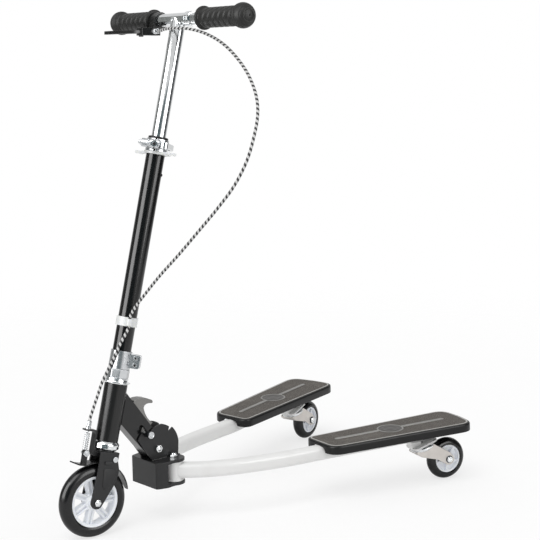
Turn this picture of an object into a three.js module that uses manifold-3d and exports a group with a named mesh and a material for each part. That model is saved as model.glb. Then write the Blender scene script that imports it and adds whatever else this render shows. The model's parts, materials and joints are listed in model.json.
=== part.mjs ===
// A folding three-wheeled drifting scooter: one steered wheel in front, a telescopic handlebar
// and two swinging arms, each with a footboard and an inclined trailing castor.
// Millimetres. +X is forward, +Y is the rider's left, +Z is up and the ground is at Z = 0.
import * as THREE from "three";
import { mergeVertices } from "three/addons/utils/BufferGeometryUtils.js";
import Module from "manifold-3d";

const wasm = await Module();
wasm.setup();

// Clearances
const SEAT = 0.3; // between pieces that touch
const RUN = 0.4; // between pieces that turn or slide in each other
const SIDE_PLAY = 0.5; // beside a moving plate
const BEYOND = 5; // how far a cutting tool runs past the face it opens
const THROUGH = 60; // half the length of one that goes right through

// Steering axis
const RAKE = THREE.MathUtils.degToRad(14.3);
const STEERED = THREE.MathUtils.degToRad(-4.6); // the fork is drawn turned by this much
const AXIS_X = -30.4; // place of the steering axis at AXIS_Z
const AXIS_Z = 150;

// Front wheel
const WHEEL_R = 62.5;
const WHEEL_WIDTH = 25;
const RIM_R = 44;
const RIM_WIDTH = 22;
const RIM_WALL = 5;
const HUB_R = 12.5;
const SPOKES = 7;
const SPOKE_WIDTH = 11;
const SPOKE_GROOVE = 3.6;
const SPOKE_DEPTH = 13;
const FORK_OFFSET = 8; // wheel centre ahead of the steering axis
const AXLE_R = 4;
const WHEEL_BOSS = 27.6;

// Fork
const FORK_GAP = 29;
const FORK_PLATE = 3.5;
const CROWN_TOP = -5; // heights here are along the steering axis, from AXIS_Z
const CROWN_PLATE = 4;
const STEERER_R = 13.6;
const STEERER_WALL = 2.4;
const STEERER_TOP = 166;
const NECK_R = 17;

// Head tube, its bearings and the lock nut
const HEAD_R = 19.8;
const HEAD_WALL = 3.2;
const HEAD_LOW = 12;
const HEAD_HIGH = 110.4;
const CUP_R = 23.2;
const TOP_CUP_R = 21.2;
const CUP_SPIGOT = 9;
const TOP_CUP_HEIGHT = 10.4;
const LOCKNUT_HEIGHT = 15;
const LOCKNUT_R = 19.6;

// Column, its two clamps and the stem in it
const COLUMN_R = 16;
const COLUMN_WALL = 1.6;
const COLUMN_TOP = 532.5;
const LOW_CLAMP_HEIGHT = 31;
const CLAMP_WALL = 2.2;
const LOW_EAR_REACH = 35;
const EAR_HALF = 8.5;
const SLIT = 2;
const PINCH_BOLT_R = 2.5;
const PINCH_HEAD_R = 4.3;
const EAR_AZIMUTH = THREE.MathUtils.degToRad(138);
const TOP_CLAMP_HEIGHT = 21.5;
const TOP_CLAMP_WALL = 2.6;
const TOP_EAR_REACH = 31.5;
const TOP_EAR_AZIMUTH = THREE.MathUtils.degToRad(48);
const SKEWER_R = 3;
const SKEWER_REACH = 25;
const LIP_HEIGHT = 4;
const CLIP_PLATE = 4.6;
const CLIP_SPAN = 110;
const CLIP_MOUTH_R = 12;
const CLIP_RING_R = 21;
const GUIDE_FOOT = 210;
const GUIDE_HEIGHT = 15.6;
const STEM_R = 12.5;
const STEM_WALL = 1.8;
const STEM_FOOT = 335;

// Crossbar, grips and the brake lever
const BAR_HEIGHT = 740;
const BAR_R = 11;
const GRIP_START = 74.5;
const GRIP_R = 15.6;
const GRIP_RIB = 1.8;
const GRIP_RIBS = 8;
const GRIP_TWIST = 0.26; // turn of the ribs from one row to the next
const GRIP_FLANGE_R = 20;
const BALL_R = 21;
const BALL_CENTRE = 187.5;
const GRIP_END = 207;
const COLLAR_START = 29;
const COLLAR_LENGTH = 18;
const COLLAR_R = 12.9;
const LEVER_CLAMP_START = 55;
const LEVER_CLAMP_LENGTH = 17;
const LEVER_CLAMP_WALL = 3.6;
const LEVER_PIVOT = new THREE.Vector3(26, -80, -19); // from the middle of the crossbar
const LEVER_PIN_R = 2.4;
const LEVER_THICK = 6;
const LEVER_DROP = THREE.MathUtils.degToRad(12); // its clamp is turned down by this much
const BARREL_X = 18; // the cable's way out of the clamp, ahead of the bar

// Fold joint: strut, quadrant plates and latch
const PIVOT_X = -130;
const PIVOT_Z = 131.3;
const STRUT_LEAN = THREE.MathUtils.degToRad(37);
const STRUT_WIDTH = 25;
const STRUT_WALL = 2.5;
const STRUT_TOP_SIDE = 17;
const STRUT_UNDER_SIDE = 21.5;
const STRUT_TAPER = 3.5; // the underside stands this much further out at the head tube
const FOLD_BOLT_R = 4;
const PLATE = 3;
const PLATE_LOW_R = 43;
const PLATE_HIGH_R = 46;
const PLATE_TOE = 13; // foot of its front edge, ahead of the pivot
const PLATE_HEEL = 44.2;
const FOLD_ANGLE = 78; // degrees from riding to folded
const LATCH_R = 38; // place of the latch pin, from the fold pivot
const LATCH_LIFT = 15;
const LATCH_PIN_R = 4;
const LATCH_HEAD_R = 6.2;
const LATCH_REACH = 30;
const NOTCH_R = 36;
const HOOK_FLARE = 7; // its foot stands this far behind the strut
const HOOK_WIDTH = 19;

// Yoke that carries the two arms
const YOKE_FRONT = -110;
const YOKE_TOP = 111.5;
const YOKE_HEIGHT = 46.5;
const YOKE_PLATE = 5.5;
const YOKE_HALF = 37.5;
const YOKE_WALL = 4.5;
const YOKE_WALL_END = -131;
const KINGPIN_X = -158;
const KINGPIN_Y = 23.2;
const KINGPIN_R = 5;
const EAR_R = 19.5;
const KNUCKLE_R = 15;
const KNUCKLE_FLANGE_R = 17.4;
const KNUCKLE_FLANGE = 2.2;

// Arms
const ARM_WIDTH = 26;
const ARM_HEIGHT = 26.5;
const ARM_CORNER = 8.5;

// Footboards
const DECK_ANGLE = THREE.MathUtils.degToRad(14.7);
const DECK_PITCH = THREE.MathUtils.degToRad(1.6); // its rear stands higher
const DECK_X = -556.2;
const DECK_Y = 164.3;
const DECK_TOP = 111.7; // at the middle of the footboard
const DECK_LENGTH = 302.6;
const DECK_WIDTH = 98.5; // halfway along
const DECK_TAPER = 5; // each side stands this much further out at the rear, and less in front
const DECK_SKEW = 5.6; // the outer front corner is drawn back by this much
const DECK_CORNER = 28;
const INNER_FRONT_CORNER = 18;
const DECK_BOW = 4; // the rear edge swells out by this much
const DECK_SKIN = 5;
const DECK_SKIRT = 15.5;
const SKIRT_WALL = 3.5;
const SKIRT_DRAFT = 1.5;
const ARCH_WIDTH = 40;
const DECK_RIB = 2.4;
const PAD_INSET = 4;
const PAD_RECESS = 1.6;
const PAD_PROUD = 0.6;
const PAD_RIB = 1;
const PAD_BAR = 8;
const BADGE_R = 25;

// Inclined castors
const CASTOR_TILT = THREE.MathUtils.degToRad(17);
const CASTOR_ALONG = 69.5; // swivel behind the middle of the footboard
const SWIVEL_Z = 69;
const CASTOR_LEG_END = 11;
const CASTOR_WHEEL_R = 39.5;
const CASTOR_WIDTH = 23;
const CASTOR_RIM_R = 26.4;
const CASTOR_TRAIL = 41.1;
const SWIVEL_R = 22.5;
const SWIVEL_PLATE = 3.4;
const SWIVEL_GAP = 4.6;
const CASTOR_FORK_GAP = 26;
const CASTOR_PLATE = 2.2;
const CASTOR_AXLE_R = 3.5;
const CASTOR_RIBS = 5;
const CASTOR_WEB = 7;

// Brake
const CABLE_R = 2.5;
const SHOE_GAP = 4;
const SHOE_SHEET = 2.2;
const SHOE_WIDTH = 23;
const SHOE_PIVOT = new THREE.Vector2(-13, -17);
const CABLE_LINE = 39.5; // the cable's last straight stretch, ahead of the axis
const STOP_TOP = 29;
const STOP_SHEET = 2.5;
const SPRING_R = 4;
const SPRING_WIRE_R = 0.75;
const SPRING_CURLS = 8;
const BARREL_R = 4.2;
const BARREL_HEIGHT = 14;

// Colours
const finish = (color, roughness, metalness) =>
  new THREE.MeshStandardMaterial({ color, roughness, metalness });
const BLACK_COAT = [0x26272a, 0.45, 0.2];
const CHROME = [0xd8dadd, 0.12, 1];
const STEEL = [0xb9bbbd, 0.3, 0.9];
const RUBBER = [0x161616, 0.8, 0];
const WHITE_COAT = [0xe9e9ea, 0.35, 0];
const PALE_PLASTIC = [0xdfe3e6, 0.4, 0];
const BLACK_PLASTIC = [0x1c1c1e, 0.5, 0];
const GRIP_TAPE = [0x6e6862, 0.9, 0];
const WARM_STEEL = [0xc4bfb8, 0.35, 0.8];
const GREY_METAL = [0x8d8f92, 0.4, 0.7];

// Solids

// The closed geometry as a solid, turned outside out if its faces point inwards.
function solid(geometry) {
  const bare = geometry.index ? geometry.toNonIndexed() : geometry.clone();
  bare.deleteAttribute("normal");
  bare.deleteAttribute("uv");
  const merged = mergeVertices(bare, 1e-4);
  const make = (triVerts) =>
    new wasm.Manifold(
      new wasm.Mesh({
        numProp: 3,
        vertProperties: new Float32Array(merged.attributes.position.array),
        triVerts,
      }),
    );
  const triangles = new Uint32Array(merged.index.array);
  const made = make(triangles);
  if (made.volume() > 0) return made;
  for (let i = 0; i < triangles.length; i += 3) {
    [triangles[i + 1], triangles[i + 2]] = [triangles[i + 2], triangles[i + 1]];
  }
  return make(triangles);
}

function geometryOf(body) {
  const mesh = body.asOriginal().getMesh();
  const geometry = new THREE.BufferGeometry();
  const places = new Float32Array(mesh.numVert * 3);
  for (let i = 0; i < mesh.numVert; i++) {
    const from = mesh.vertProperties.subarray(i * mesh.numProp, i * mesh.numProp + 3);
    places.set(from, i * 3);
  }
  geometry.setAttribute("position", new THREE.BufferAttribute(places, 3));
  geometry.setIndex(new THREE.BufferAttribute(mesh.triVerts, 1));
  geometry.computeVertexNormals();
  return geometry;
}

const join = (...bodies) => bodies.reduce((a, b) => a.add(b));
const cut = (body, ...tools) => tools.reduce((a, b) => a.subtract(b), body);

function box(x0, x1, y0, y1, z0, z1) {
  const block = new THREE.BoxGeometry(x1 - x0, y1 - y0, z1 - z0);
  block.translate((x0 + x1) / 2, (y0 + y1) / 2, (z0 + z1) / 2);
  return solid(block);
}

// A cylinder along Z from z0 to z1.
function rod(radius, z0, z1, sides = 20, x = 0, y = 0) {
  const body = new THREE.CylinderGeometry(radius, radius, z1 - z0, sides);
  body.rotateX(Math.PI / 2);
  body.rotateZ(Math.PI / sides);
  body.translate(x, y, (z0 + z1) / 2);
  return solid(body);
}

// A cylinder along Y from y0 to y1, its axis through (x, z).
function crossRod(radius, y0, y1, x, z, sides = 16) {
  const body = new THREE.CylinderGeometry(radius, radius, y1 - y0, sides);
  body.rotateY(Math.PI / sides);
  body.translate(x, (y0 + y1) / 2, z);
  return solid(body);
}

// A revolved body about Z from points given as [radius, height].
function turned(points, sides = 24) {
  const profile = points.map(([r, h]) => new THREE.Vector2(r, h));
  const body = new THREE.LatheGeometry(profile, sides);
  body.rotateX(Math.PI / 2);
  return solid(body);
}

// A revolved ring about Z: the profile closes on itself.
const ring = (points, sides) => turned([...points, points[0]], sides);

// A revolved ring about Y.
function wheelRing(points, sides) {
  const profile = [...points, points[0]].map(([r, h]) => new THREE.Vector2(r, h));
  return solid(new THREE.LatheGeometry(profile, sides));
}

const pipe = (outer, inner, z0, z1, sides = 24) =>
  ring([[inner, z0], [outer, z0], [outer, z1], [inner, z1]], sides);

// A shape drawn in the XY plane, raised along Z from z0 to z1.
function raised(shape, z0, z1, curveSegments = 3) {
  const body = new THREE.ExtrudeGeometry(shape, {
    depth: z1 - z0,
    bevelEnabled: false,
    curveSegments,
  });
  body.translate(0, 0, z0);
  return solid(body);
}

// A side profile drawn as (x, z), given its width along Y from y0 to y1.
function profiled(shape, y0, y1, curveSegments = 3) {
  const body = new THREE.ExtrudeGeometry(shape, {
    depth: y1 - y0,
    bevelEnabled: false,
    curveSegments,
  });
  body.rotateX(Math.PI / 2);
  body.translate(0, y1, 0);
  return solid(body);
}

const outline = (points) => new THREE.Shape(points.map(([x, y]) => new THREE.Vector2(x, y)));

function moved(body, x, y, z) {
  return body.translate([x, y, z]);
}

// A body as it lies on the left side, or mirrored for the right.
const onSide = (body, side) => (side > 0 ? body : body.mirror([0, 1, 0]));

const degrees = THREE.MathUtils.radToDeg;
const turnedAboutZ = (body, angle) => body.rotate([0, 0, degrees(angle)]);

function roundedRectangle(x0, x1, y0, y1, r) {
  const shape = new THREE.Shape();
  shape.moveTo(x0 + r, y0);
  shape.lineTo(x1 - r, y0);
  shape.absarc(x1 - r, y0 + r, r, -Math.PI / 2, 0);
  shape.lineTo(x1, y1 - r);
  shape.absarc(x1 - r, y1 - r, r, 0, Math.PI / 2);
  shape.lineTo(x0 + r, y1);
  shape.absarc(x0 + r, y1 - r, r, Math.PI / 2, Math.PI);
  shape.lineTo(x0, y0 + r);
  shape.absarc(x0 + r, y0 + r, r, Math.PI, Math.PI * 1.5);
  return shape;
}

// A hexagon prism along Z, measured across its flats.
const hexagon = (flats, z0, z1, x = 0, y = 0) => rod(flats / Math.sqrt(3), z0, z1, 6, x, y);

// Groups. Each carries its own frame, and add() hangs a named mesh in it.
const scooter = new THREE.Group();
scooter.name = "scooter";

function group(parent, x = 0, y = 0, z = 0) {
  const made = new THREE.Group();
  made.position.set(x, y, z);
  parent.add(made);
  return made;
}

function add(parent, name, body, look) {
  const mesh = new THREE.Mesh(geometryOf(body), finish(...look));
  mesh.name = name;
  parent.add(mesh);
  return mesh;
}

// Head frame: leans with the steering axis. Z here is the height along that axis.
const head = group(scooter, AXIS_X, 0, AXIS_Z);
head.rotation.y = -RAKE;

// Steered frame: what turns with the fork.
const steered = group(head);
steered.rotation.z = STEERED;

// Heights along the steering axis that follow from the sizes above
const columnBore = COLUMN_R - COLUMN_WALL;
const headBore = HEAD_R - HEAD_WALL;
const cupBore = STEERER_R + SEAT;
const topCupBase = HEAD_HIGH + SEAT;
const topCupTop = topCupBase + TOP_CUP_HEIGHT;
const locknutBase = topCupTop + SEAT;
const locknutTop = locknutBase + LOCKNUT_HEIGHT;
const columnFoot = locknutTop + SEAT;
const topClampBase = COLUMN_TOP - TOP_CLAMP_HEIGHT;
const forkOuter = FORK_GAP / 2 + FORK_PLATE;

// The wheel centre's height along the axis, so that the tyre meets the ground
const crownOfTyre = WHEEL_WIDTH / 2;
const axleSlope = Math.sin(RAKE) * Math.sin(STEERED);
const wheelHeight =
  (WHEEL_R - crownOfTyre) * Math.sqrt(1 - axleSlope * axleSlope) + crownOfTyre;
const wheelZ =
  (wheelHeight - AXIS_Z - FORK_OFFSET * Math.sin(RAKE) * Math.cos(STEERED)) / Math.cos(RAKE);

// Head tube and strut

function makeHeadTube() {
  add(head, "head_tube", pipe(HEAD_R, headBore, HEAD_LOW, HEAD_HIGH), BLACK_COAT);
}

function makeHeadset() {
  const spigot = headBore - SEAT;
  const low = HEAD_LOW - SEAT;
  const lower = ring(
    [
      [cupBore, -2.5],
      [CUP_R - 4, -2.5],
      [CUP_R, 0.5],
      [CUP_R, 7.5],
      [CUP_R - 3.4, low],
      [spigot, low],
      [spigot, low + CUP_SPIGOT],
      [cupBore, low + CUP_SPIGOT],
    ],
    18,
  );
  add(head, "lower_cup", lower, CHROME);
  const upper = ring(
    [
      [cupBore, topCupBase - CUP_SPIGOT],
      [spigot, topCupBase - CUP_SPIGOT],
      [spigot, topCupBase],
      [TOP_CUP_R - 1, topCupBase],
      [TOP_CUP_R, topCupBase + 1.5],
      [TOP_CUP_R, topCupTop - 4],
      [TOP_CUP_R - 2.5, topCupTop],
      [cupBore, topCupTop],
    ],
    18,
  );
  add(head, "upper_cup", upper, CHROME);
}

const strut = group(scooter, PIVOT_X, 0, PIVOT_Z);
strut.rotation.y = STRUT_LEAN;

// A body given in the head frame, seen from the strut's frame.
function fromHeadToStrut(body) {
  head.updateMatrixWorld(true);
  strut.updateMatrixWorld(true);
  const matrix = strut.matrixWorld.clone().invert().multiply(head.matrixWorld);
  return body.transform(matrix.elements);
}

const pinLow = LATCH_R - LATCH_PIN_R - RUN;
const pinHigh = LATCH_R + LATCH_LIFT + LATCH_PIN_R + RUN;

function makeStrut() {
  const half = STRUT_WIDTH / 2;
  const length = 175;
  const eye = STRUT_TOP_SIDE + 1.5;
  const side = new THREE.Shape();
  side.moveTo(-STRUT_TOP_SIDE - 1, length);
  side.lineTo(-STRUT_TOP_SIDE, 12);
  side.lineTo(-eye, 0);
  side.absarc(0, 0, eye, Math.PI, Math.PI * 1.82);
  side.lineTo(STRUT_UNDER_SIDE, 4);
  side.lineTo(STRUT_UNDER_SIDE + STRUT_TAPER, length * 0.55);
  side.lineTo(STRUT_UNDER_SIDE + STRUT_TAPER * 1.6, length);
  const whole = profiled(side, -half, half);
  const inner = half - STRUT_WALL;
  const channel = outline([
    [-60, length + 5],
    [-60, -60],
    [STRUT_UNDER_SIDE - STRUT_WALL - 2, -60],
    [STRUT_UNDER_SIDE - STRUT_WALL, 4],
    [STRUT_UNDER_SIDE + STRUT_TAPER - STRUT_WALL, length * 0.55],
    [STRUT_UNDER_SIDE + STRUT_TAPER * 1.6 - STRUT_WALL, length + 5],
  ]);
  const slotHalf = LATCH_PIN_R + RUN;
  const slot = roundedRectangle(-slotHalf, slotHalf, pinLow, pinHigh, slotHalf - 0.1);
  const beyond = join(
    box(0, 250, -THROUGH, THROUGH, -80, 260),
    rod(HEAD_R + SEAT, -80, 260, 24),
  );
  const body = cut(
    whole,
    profiled(channel, -inner, inner),
    crossRod(FOLD_BOLT_R + SEAT, -THROUGH, THROUGH, 0, 0),
    profiled(slot, -THROUGH, THROUGH, 2),
    fromHeadToStrut(beyond),
  );
  add(strut, "strut", body, BLACK_COAT);
}

// The notched quadrant: each plate's outline as a radius about the fold pivot.
// Ahead of the latch pin stands the riding stop. Behind it the edge climbs as the pin is drawn,
// runs round to the folded notch and ends at the heel over the yoke.
function quadrantOutline() {
  const seatAngle = degrees(STRUT_LEAN);
  const at = (angle, r) => {
    const a = THREE.MathUtils.degToRad(angle);
    return [r * Math.sin(a), r * Math.cos(a)];
  };
  const foot = YOKE_TOP + SEAT - PIVOT_Z;
  const points = [[-PLATE_HEEL, foot]];
  const stopAngle = degrees((LATCH_PIN_R + RUN) / LATCH_R);
  points.push([PLATE_TOE, foot]);
  points.push(at(62, PLATE_HIGH_R + 1));
  points.push(at(52, PLATE_HIGH_R + 1));
  points.push(at(seatAngle + stopAngle + 1.5, PLATE_HIGH_R));
  const seatR = LATCH_R - LATCH_PIN_R - RUN;
  for (let i = 0; i <= 4; i++) {
    const turn = Math.PI / 2 - (Math.PI / 2) * (i / 4);
    const along = Math.sin(turn) * (LATCH_PIN_R + RUN);
    const down = Math.cos(turn) * (LATCH_PIN_R + RUN);
    points.push(at(seatAngle + degrees(along / LATCH_R), LATCH_R - down));
  }
  // the edge climbs with the pin, then keeps the plate's own radius
  for (let fold = 6; fold <= 74; fold += 4) {
    const climb = seatR - SEAT + (LATCH_LIFT * fold) / FOLD_ANGLE;
    points.push(at(seatAngle - fold, Math.min(PLATE_LOW_R, climb)));
  }
  const notch = seatAngle - FOLD_ANGLE;
  points.push(at(notch + 0.8, NOTCH_R + 1.6));
  points.push(at(notch - 1.2, NOTCH_R));
  points.push(at(notch - 3, NOTCH_R + 1.4));
  points.push(at(notch - 5, PLATE_HIGH_R));
  for (let angle = notch - 10; angle > -86; angle -= 8) points.push(at(angle, PLATE_HIGH_R));
  return outline(points);
}

function makeQuadrants() {
  const inner = STRUT_WIDTH / 2 + SIDE_PLAY;
  const frame = group(scooter, PIVOT_X, 0, PIVOT_Z);
  const bolt = crossRod(FOLD_BOLT_R + SEAT, -THROUGH, THROUGH, 0, 0);
  const left = cut(profiled(quadrantOutline(), inner, inner + PLATE), bolt);
  const right = cut(profiled(quadrantOutline(), -inner - PLATE, -inner), bolt);
  add(frame, "quadrant_left", left, BLACK_COAT);
  add(frame, "quadrant_right", right, BLACK_COAT);
  const face = inner + PLATE + SEAT;
  const across = (body) => body.rotate([-90, 0, 0]);
  const nut = across(
    join(hexagon(12, face, face + 4.5), turned([[0, face + 4.5], [4.6, face + 4.5], [0, face + 7.5]], 12)),
  );
  const headEnd = across(hexagon(12, -face - 4.5, -face));
  add(frame, "fold_bolt", join(crossRod(FOLD_BOLT_R, -face - 1, face + 1, 0, 0), nut, headEnd), STEEL);
}

function makeLatch() {
  const half = HOOK_WIDTH / 2;
  const back = -STRUT_TOP_SIDE;
  const claw = new THREE.Shape();
  claw.moveTo(8, LATCH_R);
  claw.absarc(0, LATCH_R, 8.2, 0, -Math.PI, true);
  claw.lineTo(back - HOOK_FLARE, LATCH_R + 2);
  claw.quadraticCurveTo(back - 3.5, LATCH_R + 10, back - 5, LATCH_R + 20);
  claw.quadraticCurveTo(back - 6, LATCH_R + 28, back - 10, LATCH_R + 36);
  claw.quadraticCurveTo(back - 17, LATCH_R + 42, back - 28, LATCH_R + 29);
  claw.quadraticCurveTo(back - 32, LATCH_R + 30, back - 31, LATCH_R + 34);
  claw.quadraticCurveTo(back - 22, LATCH_R + 54, back - 4, LATCH_R + 61);
  claw.lineTo(back + 2, LATCH_R + 58);
  claw.lineTo(back + 3, LATCH_R + 16);
  claw.lineTo(8, LATCH_R + 6);
  const hook = cut(profiled(claw, -half, half, 4), crossRod(LATCH_PIN_R + SEAT, -THROUGH, THROUGH, 0, LATCH_R));
  add(strut, "latch_hook", hook, GREY_METAL);
  // outside the quadrants each end swells to a sleeve with a flat head
  const sleeve = STRUT_WIDTH / 2 + SIDE_PLAY + PLATE + SEAT;
  const swell = (from, to, radius) => [
    crossRod(radius, from, to, 0, LATCH_R, 12),
    crossRod(radius, -to, -from, 0, LATCH_R, 12),
  ];
  const pin = join(
    crossRod(LATCH_PIN_R, -LATCH_REACH, LATCH_REACH, 0, LATCH_R, 12),
    ...swell(sleeve, LATCH_REACH - 3, LATCH_HEAD_R - 0.6),
    ...swell(LATCH_REACH - 3, LATCH_REACH, LATCH_HEAD_R),
  );
  add(strut, "latch_pin", pin, STEEL);
}

// Yoke and kingpins

function yokeOutline() {
  const shape = new THREE.Shape();
  shape.moveTo(YOKE_FRONT, -YOKE_HALF + 3);
  shape.lineTo(YOKE_FRONT, YOKE_HALF - 3);
  shape.lineTo(YOKE_FRONT - 3, YOKE_HALF);
  shape.lineTo(YOKE_WALL_END, YOKE_HALF + 5);
  shape.absarc(KINGPIN_X, KINGPIN_Y, EAR_R, Math.PI * 0.33, Math.PI * 1.1);
  shape.absarc(KINGPIN_X, -KINGPIN_Y, EAR_R, Math.PI * 0.9, Math.PI * 1.67);
  shape.lineTo(YOKE_WALL_END, -YOKE_HALF - 5);
  shape.lineTo(YOKE_FRONT - 3, -YOKE_HALF);
  return shape;
}

function makeYoke() {
  const bottom = YOKE_TOP - YOKE_HEIGHT;
  const whole = raised(yokeOutline(), bottom, YOKE_TOP, 3);
  const inside = YOKE_HALF - YOKE_WALL;
  const pocket = outline([
    [YOKE_FRONT - YOKE_WALL, -inside],
    [YOKE_FRONT - YOKE_WALL, inside],
    [YOKE_WALL_END, inside + 4.5],
    [YOKE_WALL_END, 80],
    [-230, 80],
    [-230, -80],
    [YOKE_WALL_END, -80],
    [YOKE_WALL_END, -inside - 4.5],
  ]);
  const hole = (side) =>
    rod(KINGPIN_R + SEAT, bottom - 5, YOKE_TOP + 5, 20, KINGPIN_X, side * KINGPIN_Y);
  const body = cut(
    whole,
    raised(pocket, bottom + YOKE_PLATE, YOKE_TOP - YOKE_PLATE),
    hole(1),
    hole(-1),
  );
  add(scooter, "yoke", body, BLACK_COAT);
  for (const [side, name] of [[1, "left"], [-1, "right"]]) {
    const seat = YOKE_TOP + SEAT;
    const under = bottom - SEAT;
    const dome = turned([[0, seat + 4], [5.6, seat + 4], [4.4, seat + 7], [0, seat + 8.5]], 16);
    const bolt = join(
      rod(KINGPIN_R, under - 1, seat + 1, 20),
      hexagon(12.5, seat, seat + 4.2),
      dome,
      hexagon(12.5, under - 4.5, under),
    );
    add(scooter, `kingpin_${name}`, moved(bolt, KINGPIN_X, side * KINGPIN_Y, 0), STEEL);
  }
}

// Fork and front wheel

function makeFork() {
  const leg = new THREE.Shape();
  const tip = 11.5;
  leg.moveTo(-19.5, CROWN_TOP);
  leg.lineTo(18, CROWN_TOP);
  leg.lineTo(16.5, -18);
  leg.lineTo(17.5, -52);
  leg.lineTo(FORK_OFFSET + tip, wheelZ + 2);
  leg.absarc(FORK_OFFSET, wheelZ, tip, 0, -Math.PI * 0.86, true);
  leg.lineTo(-18.5, -63);
  leg.quadraticCurveTo(-24.5, -50, -24.5, -34);
  leg.lineTo(-19.5, -20);
  const whole = profiled(leg, -forkOuter, forkOuter, 4);
  const half = FORK_GAP / 2;
  const gap = box(-60, 60, -half, half, -160, CROWN_TOP - CROWN_PLATE);
  const window = roundedRectangle(-10, 6, -26.5, -22, 2.1);
  const neck = turned(
    [
      [0, CROWN_TOP - 1],
      [NECK_R, CROWN_TOP - 1],
      [NECK_R, -2.5 - SEAT],
      [STEERER_R, -2.5 - SEAT],
      [STEERER_R, STEERER_TOP],
      [STEERER_R - STEERER_WALL, STEERER_TOP],
      [STEERER_R - STEERER_WALL, CROWN_TOP + 4],
      [0, CROWN_TOP + 4],
    ],
    20,
  );
  const lug = box(12, 24, -7, 7, -15, CROWN_TOP - 1);
  const body = cut(
    join(cut(whole, gap), neck, lug),
    profiled(window, -THROUGH, THROUGH, 2),
    crossRod(AXLE_R + SEAT, -THROUGH, THROUGH, FORK_OFFSET, wheelZ),
    crossRod(3 + SEAT, -THROUGH, THROUGH, SHOE_PIVOT.x, SHOE_PIVOT.y, 12),
  );
  add(steered, "fork", body, BLACK_COAT);
  const face = forkOuter + SEAT;
  const across = (part) => moved(part.rotate([-90, 0, 0]), FORK_OFFSET, 0, wheelZ);
  const axle = across(
    join(
      rod(AXLE_R, -face - 1, face + 1, 20),
      hexagon(11, face, face + 3.4),
      turned([[0, face + 3.4], [4.8, face + 3.4], [3.4, face + 5.2], [0, face + 5.6]], 14),
      hexagon(11, -face - 4, -face),
    ),
  );
  add(steered, "front_axle", axle, STEEL);
}

function makeFrontWheel() {
  const wheel = group(steered, FORK_OFFSET, 0, wheelZ);
  wheel.rotation.y = THREE.MathUtils.degToRad(-14);
  const half = WHEEL_WIDTH / 2;
  const rimHalf = RIM_WIDTH / 2;
  const crown = [];
  for (let i = 0; i <= 4; i++) {
    const a = -Math.PI / 2 + (Math.PI * i) / 4;
    crown.push([WHEEL_R - crownOfTyre + crownOfTyre * Math.cos(a), half * Math.sin(a)]);
  }
  const tyre = wheelRing(
    [[RIM_R + SEAT, -rimHalf], ...crown, [RIM_R + SEAT, rimHalf]],
    30,
  );
  add(wheel, "front_tyre", tyre, RUBBER);

  const lip = 1.6;
  const rim = wheelRing(
    [
      [RIM_R - RIM_WALL, -rimHalf + lip],
      [RIM_R, -rimHalf],
      [RIM_R, rimHalf],
      [RIM_R - RIM_WALL, rimHalf - lip],
    ],
    24,
  );
  const boss = crossRod(HUB_R, -WHEEL_BOSS / 2, WHEEL_BOSS / 2, 0, 0, 16);
  const web = new THREE.Shape();
  web.absarc(0, 0, RIM_R - RIM_WALL / 2, 0, Math.PI * 2);
  const pitch = (Math.PI * 2) / SPOKES;
  const windowIn = HUB_R + 3;
  const windowOut = RIM_R - RIM_WALL - 0.5;
  for (let i = 0; i < SPOKES; i++) {
    web.holes.push(sector(windowIn, windowOut, i * pitch, SPOKE_WIDTH / 2, pitch));
    web.holes.push(slotAlong(windowIn + 2, windowOut - 1, i * pitch, SPOKE_GROOVE / 2));
  }
  const disc = profiled(web, -SPOKE_DEPTH / 2, SPOKE_DEPTH / 2, 12);
  const hub = cut(join(rim, boss, disc), crossRod(AXLE_R + RUN, -THROUGH, THROUGH, 0, 0));
  add(wheel, "front_hub", hub, WHITE_COAT);
}

// The window between two spokes: its sides run along the spokes' flanks.
function sector(inner, outer, angle, half, pitch) {
  const corner = (r, side) => {
    const a = angle + (side < 0 ? pitch : 0) + side * Math.asin(half / r);
    return new THREE.Vector2(r * Math.cos(a), r * Math.sin(a));
  };
  const middle = angle + pitch / 2;
  const crown = new THREE.Vector2(outer * Math.cos(middle), outer * Math.sin(middle));
  const points = [corner(inner, 1), corner(outer, 1), crown, corner(outer, -1), corner(inner, -1)];
  return new THREE.Path(points.reverse());
}

// The groove along the middle of a spoke.
function slotAlong(inner, outer, angle, half) {
  const along = new THREE.Vector2(Math.cos(angle), Math.sin(angle));
  const at = (r, side) =>
    new THREE.Vector2(r * along.x - side * along.y, r * along.y + side * along.x);
  return new THREE.Path([at(inner, -half), at(inner, half), at(outer, half), at(outer, -half)]);
}

// Lock nut, column and clamps

function makeLocknut() {
  const nut = cut(
    rod(LOCKNUT_R, locknutBase, locknutTop, 8),
    rod(cupBore, locknutBase - 5, locknutTop + 5, 24),
  );
  add(steered, "locknut", nut, STEEL);
}

function makeColumn() {
  const tube = pipe(COLUMN_R, columnBore, columnFoot, COLUMN_TOP);
  const stud = turnedAboutZ(
    moved(turned([[0, 0], [2.6, 0], [2, 1.8], [0, 2.4]], 12).rotate([0, 90, 0]), COLUMN_R - 0.6, 0, 473),
    EAR_AZIMUTH,
  );
  add(steered, "column", join(tube, stud), BLACK_COAT);
}

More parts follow.
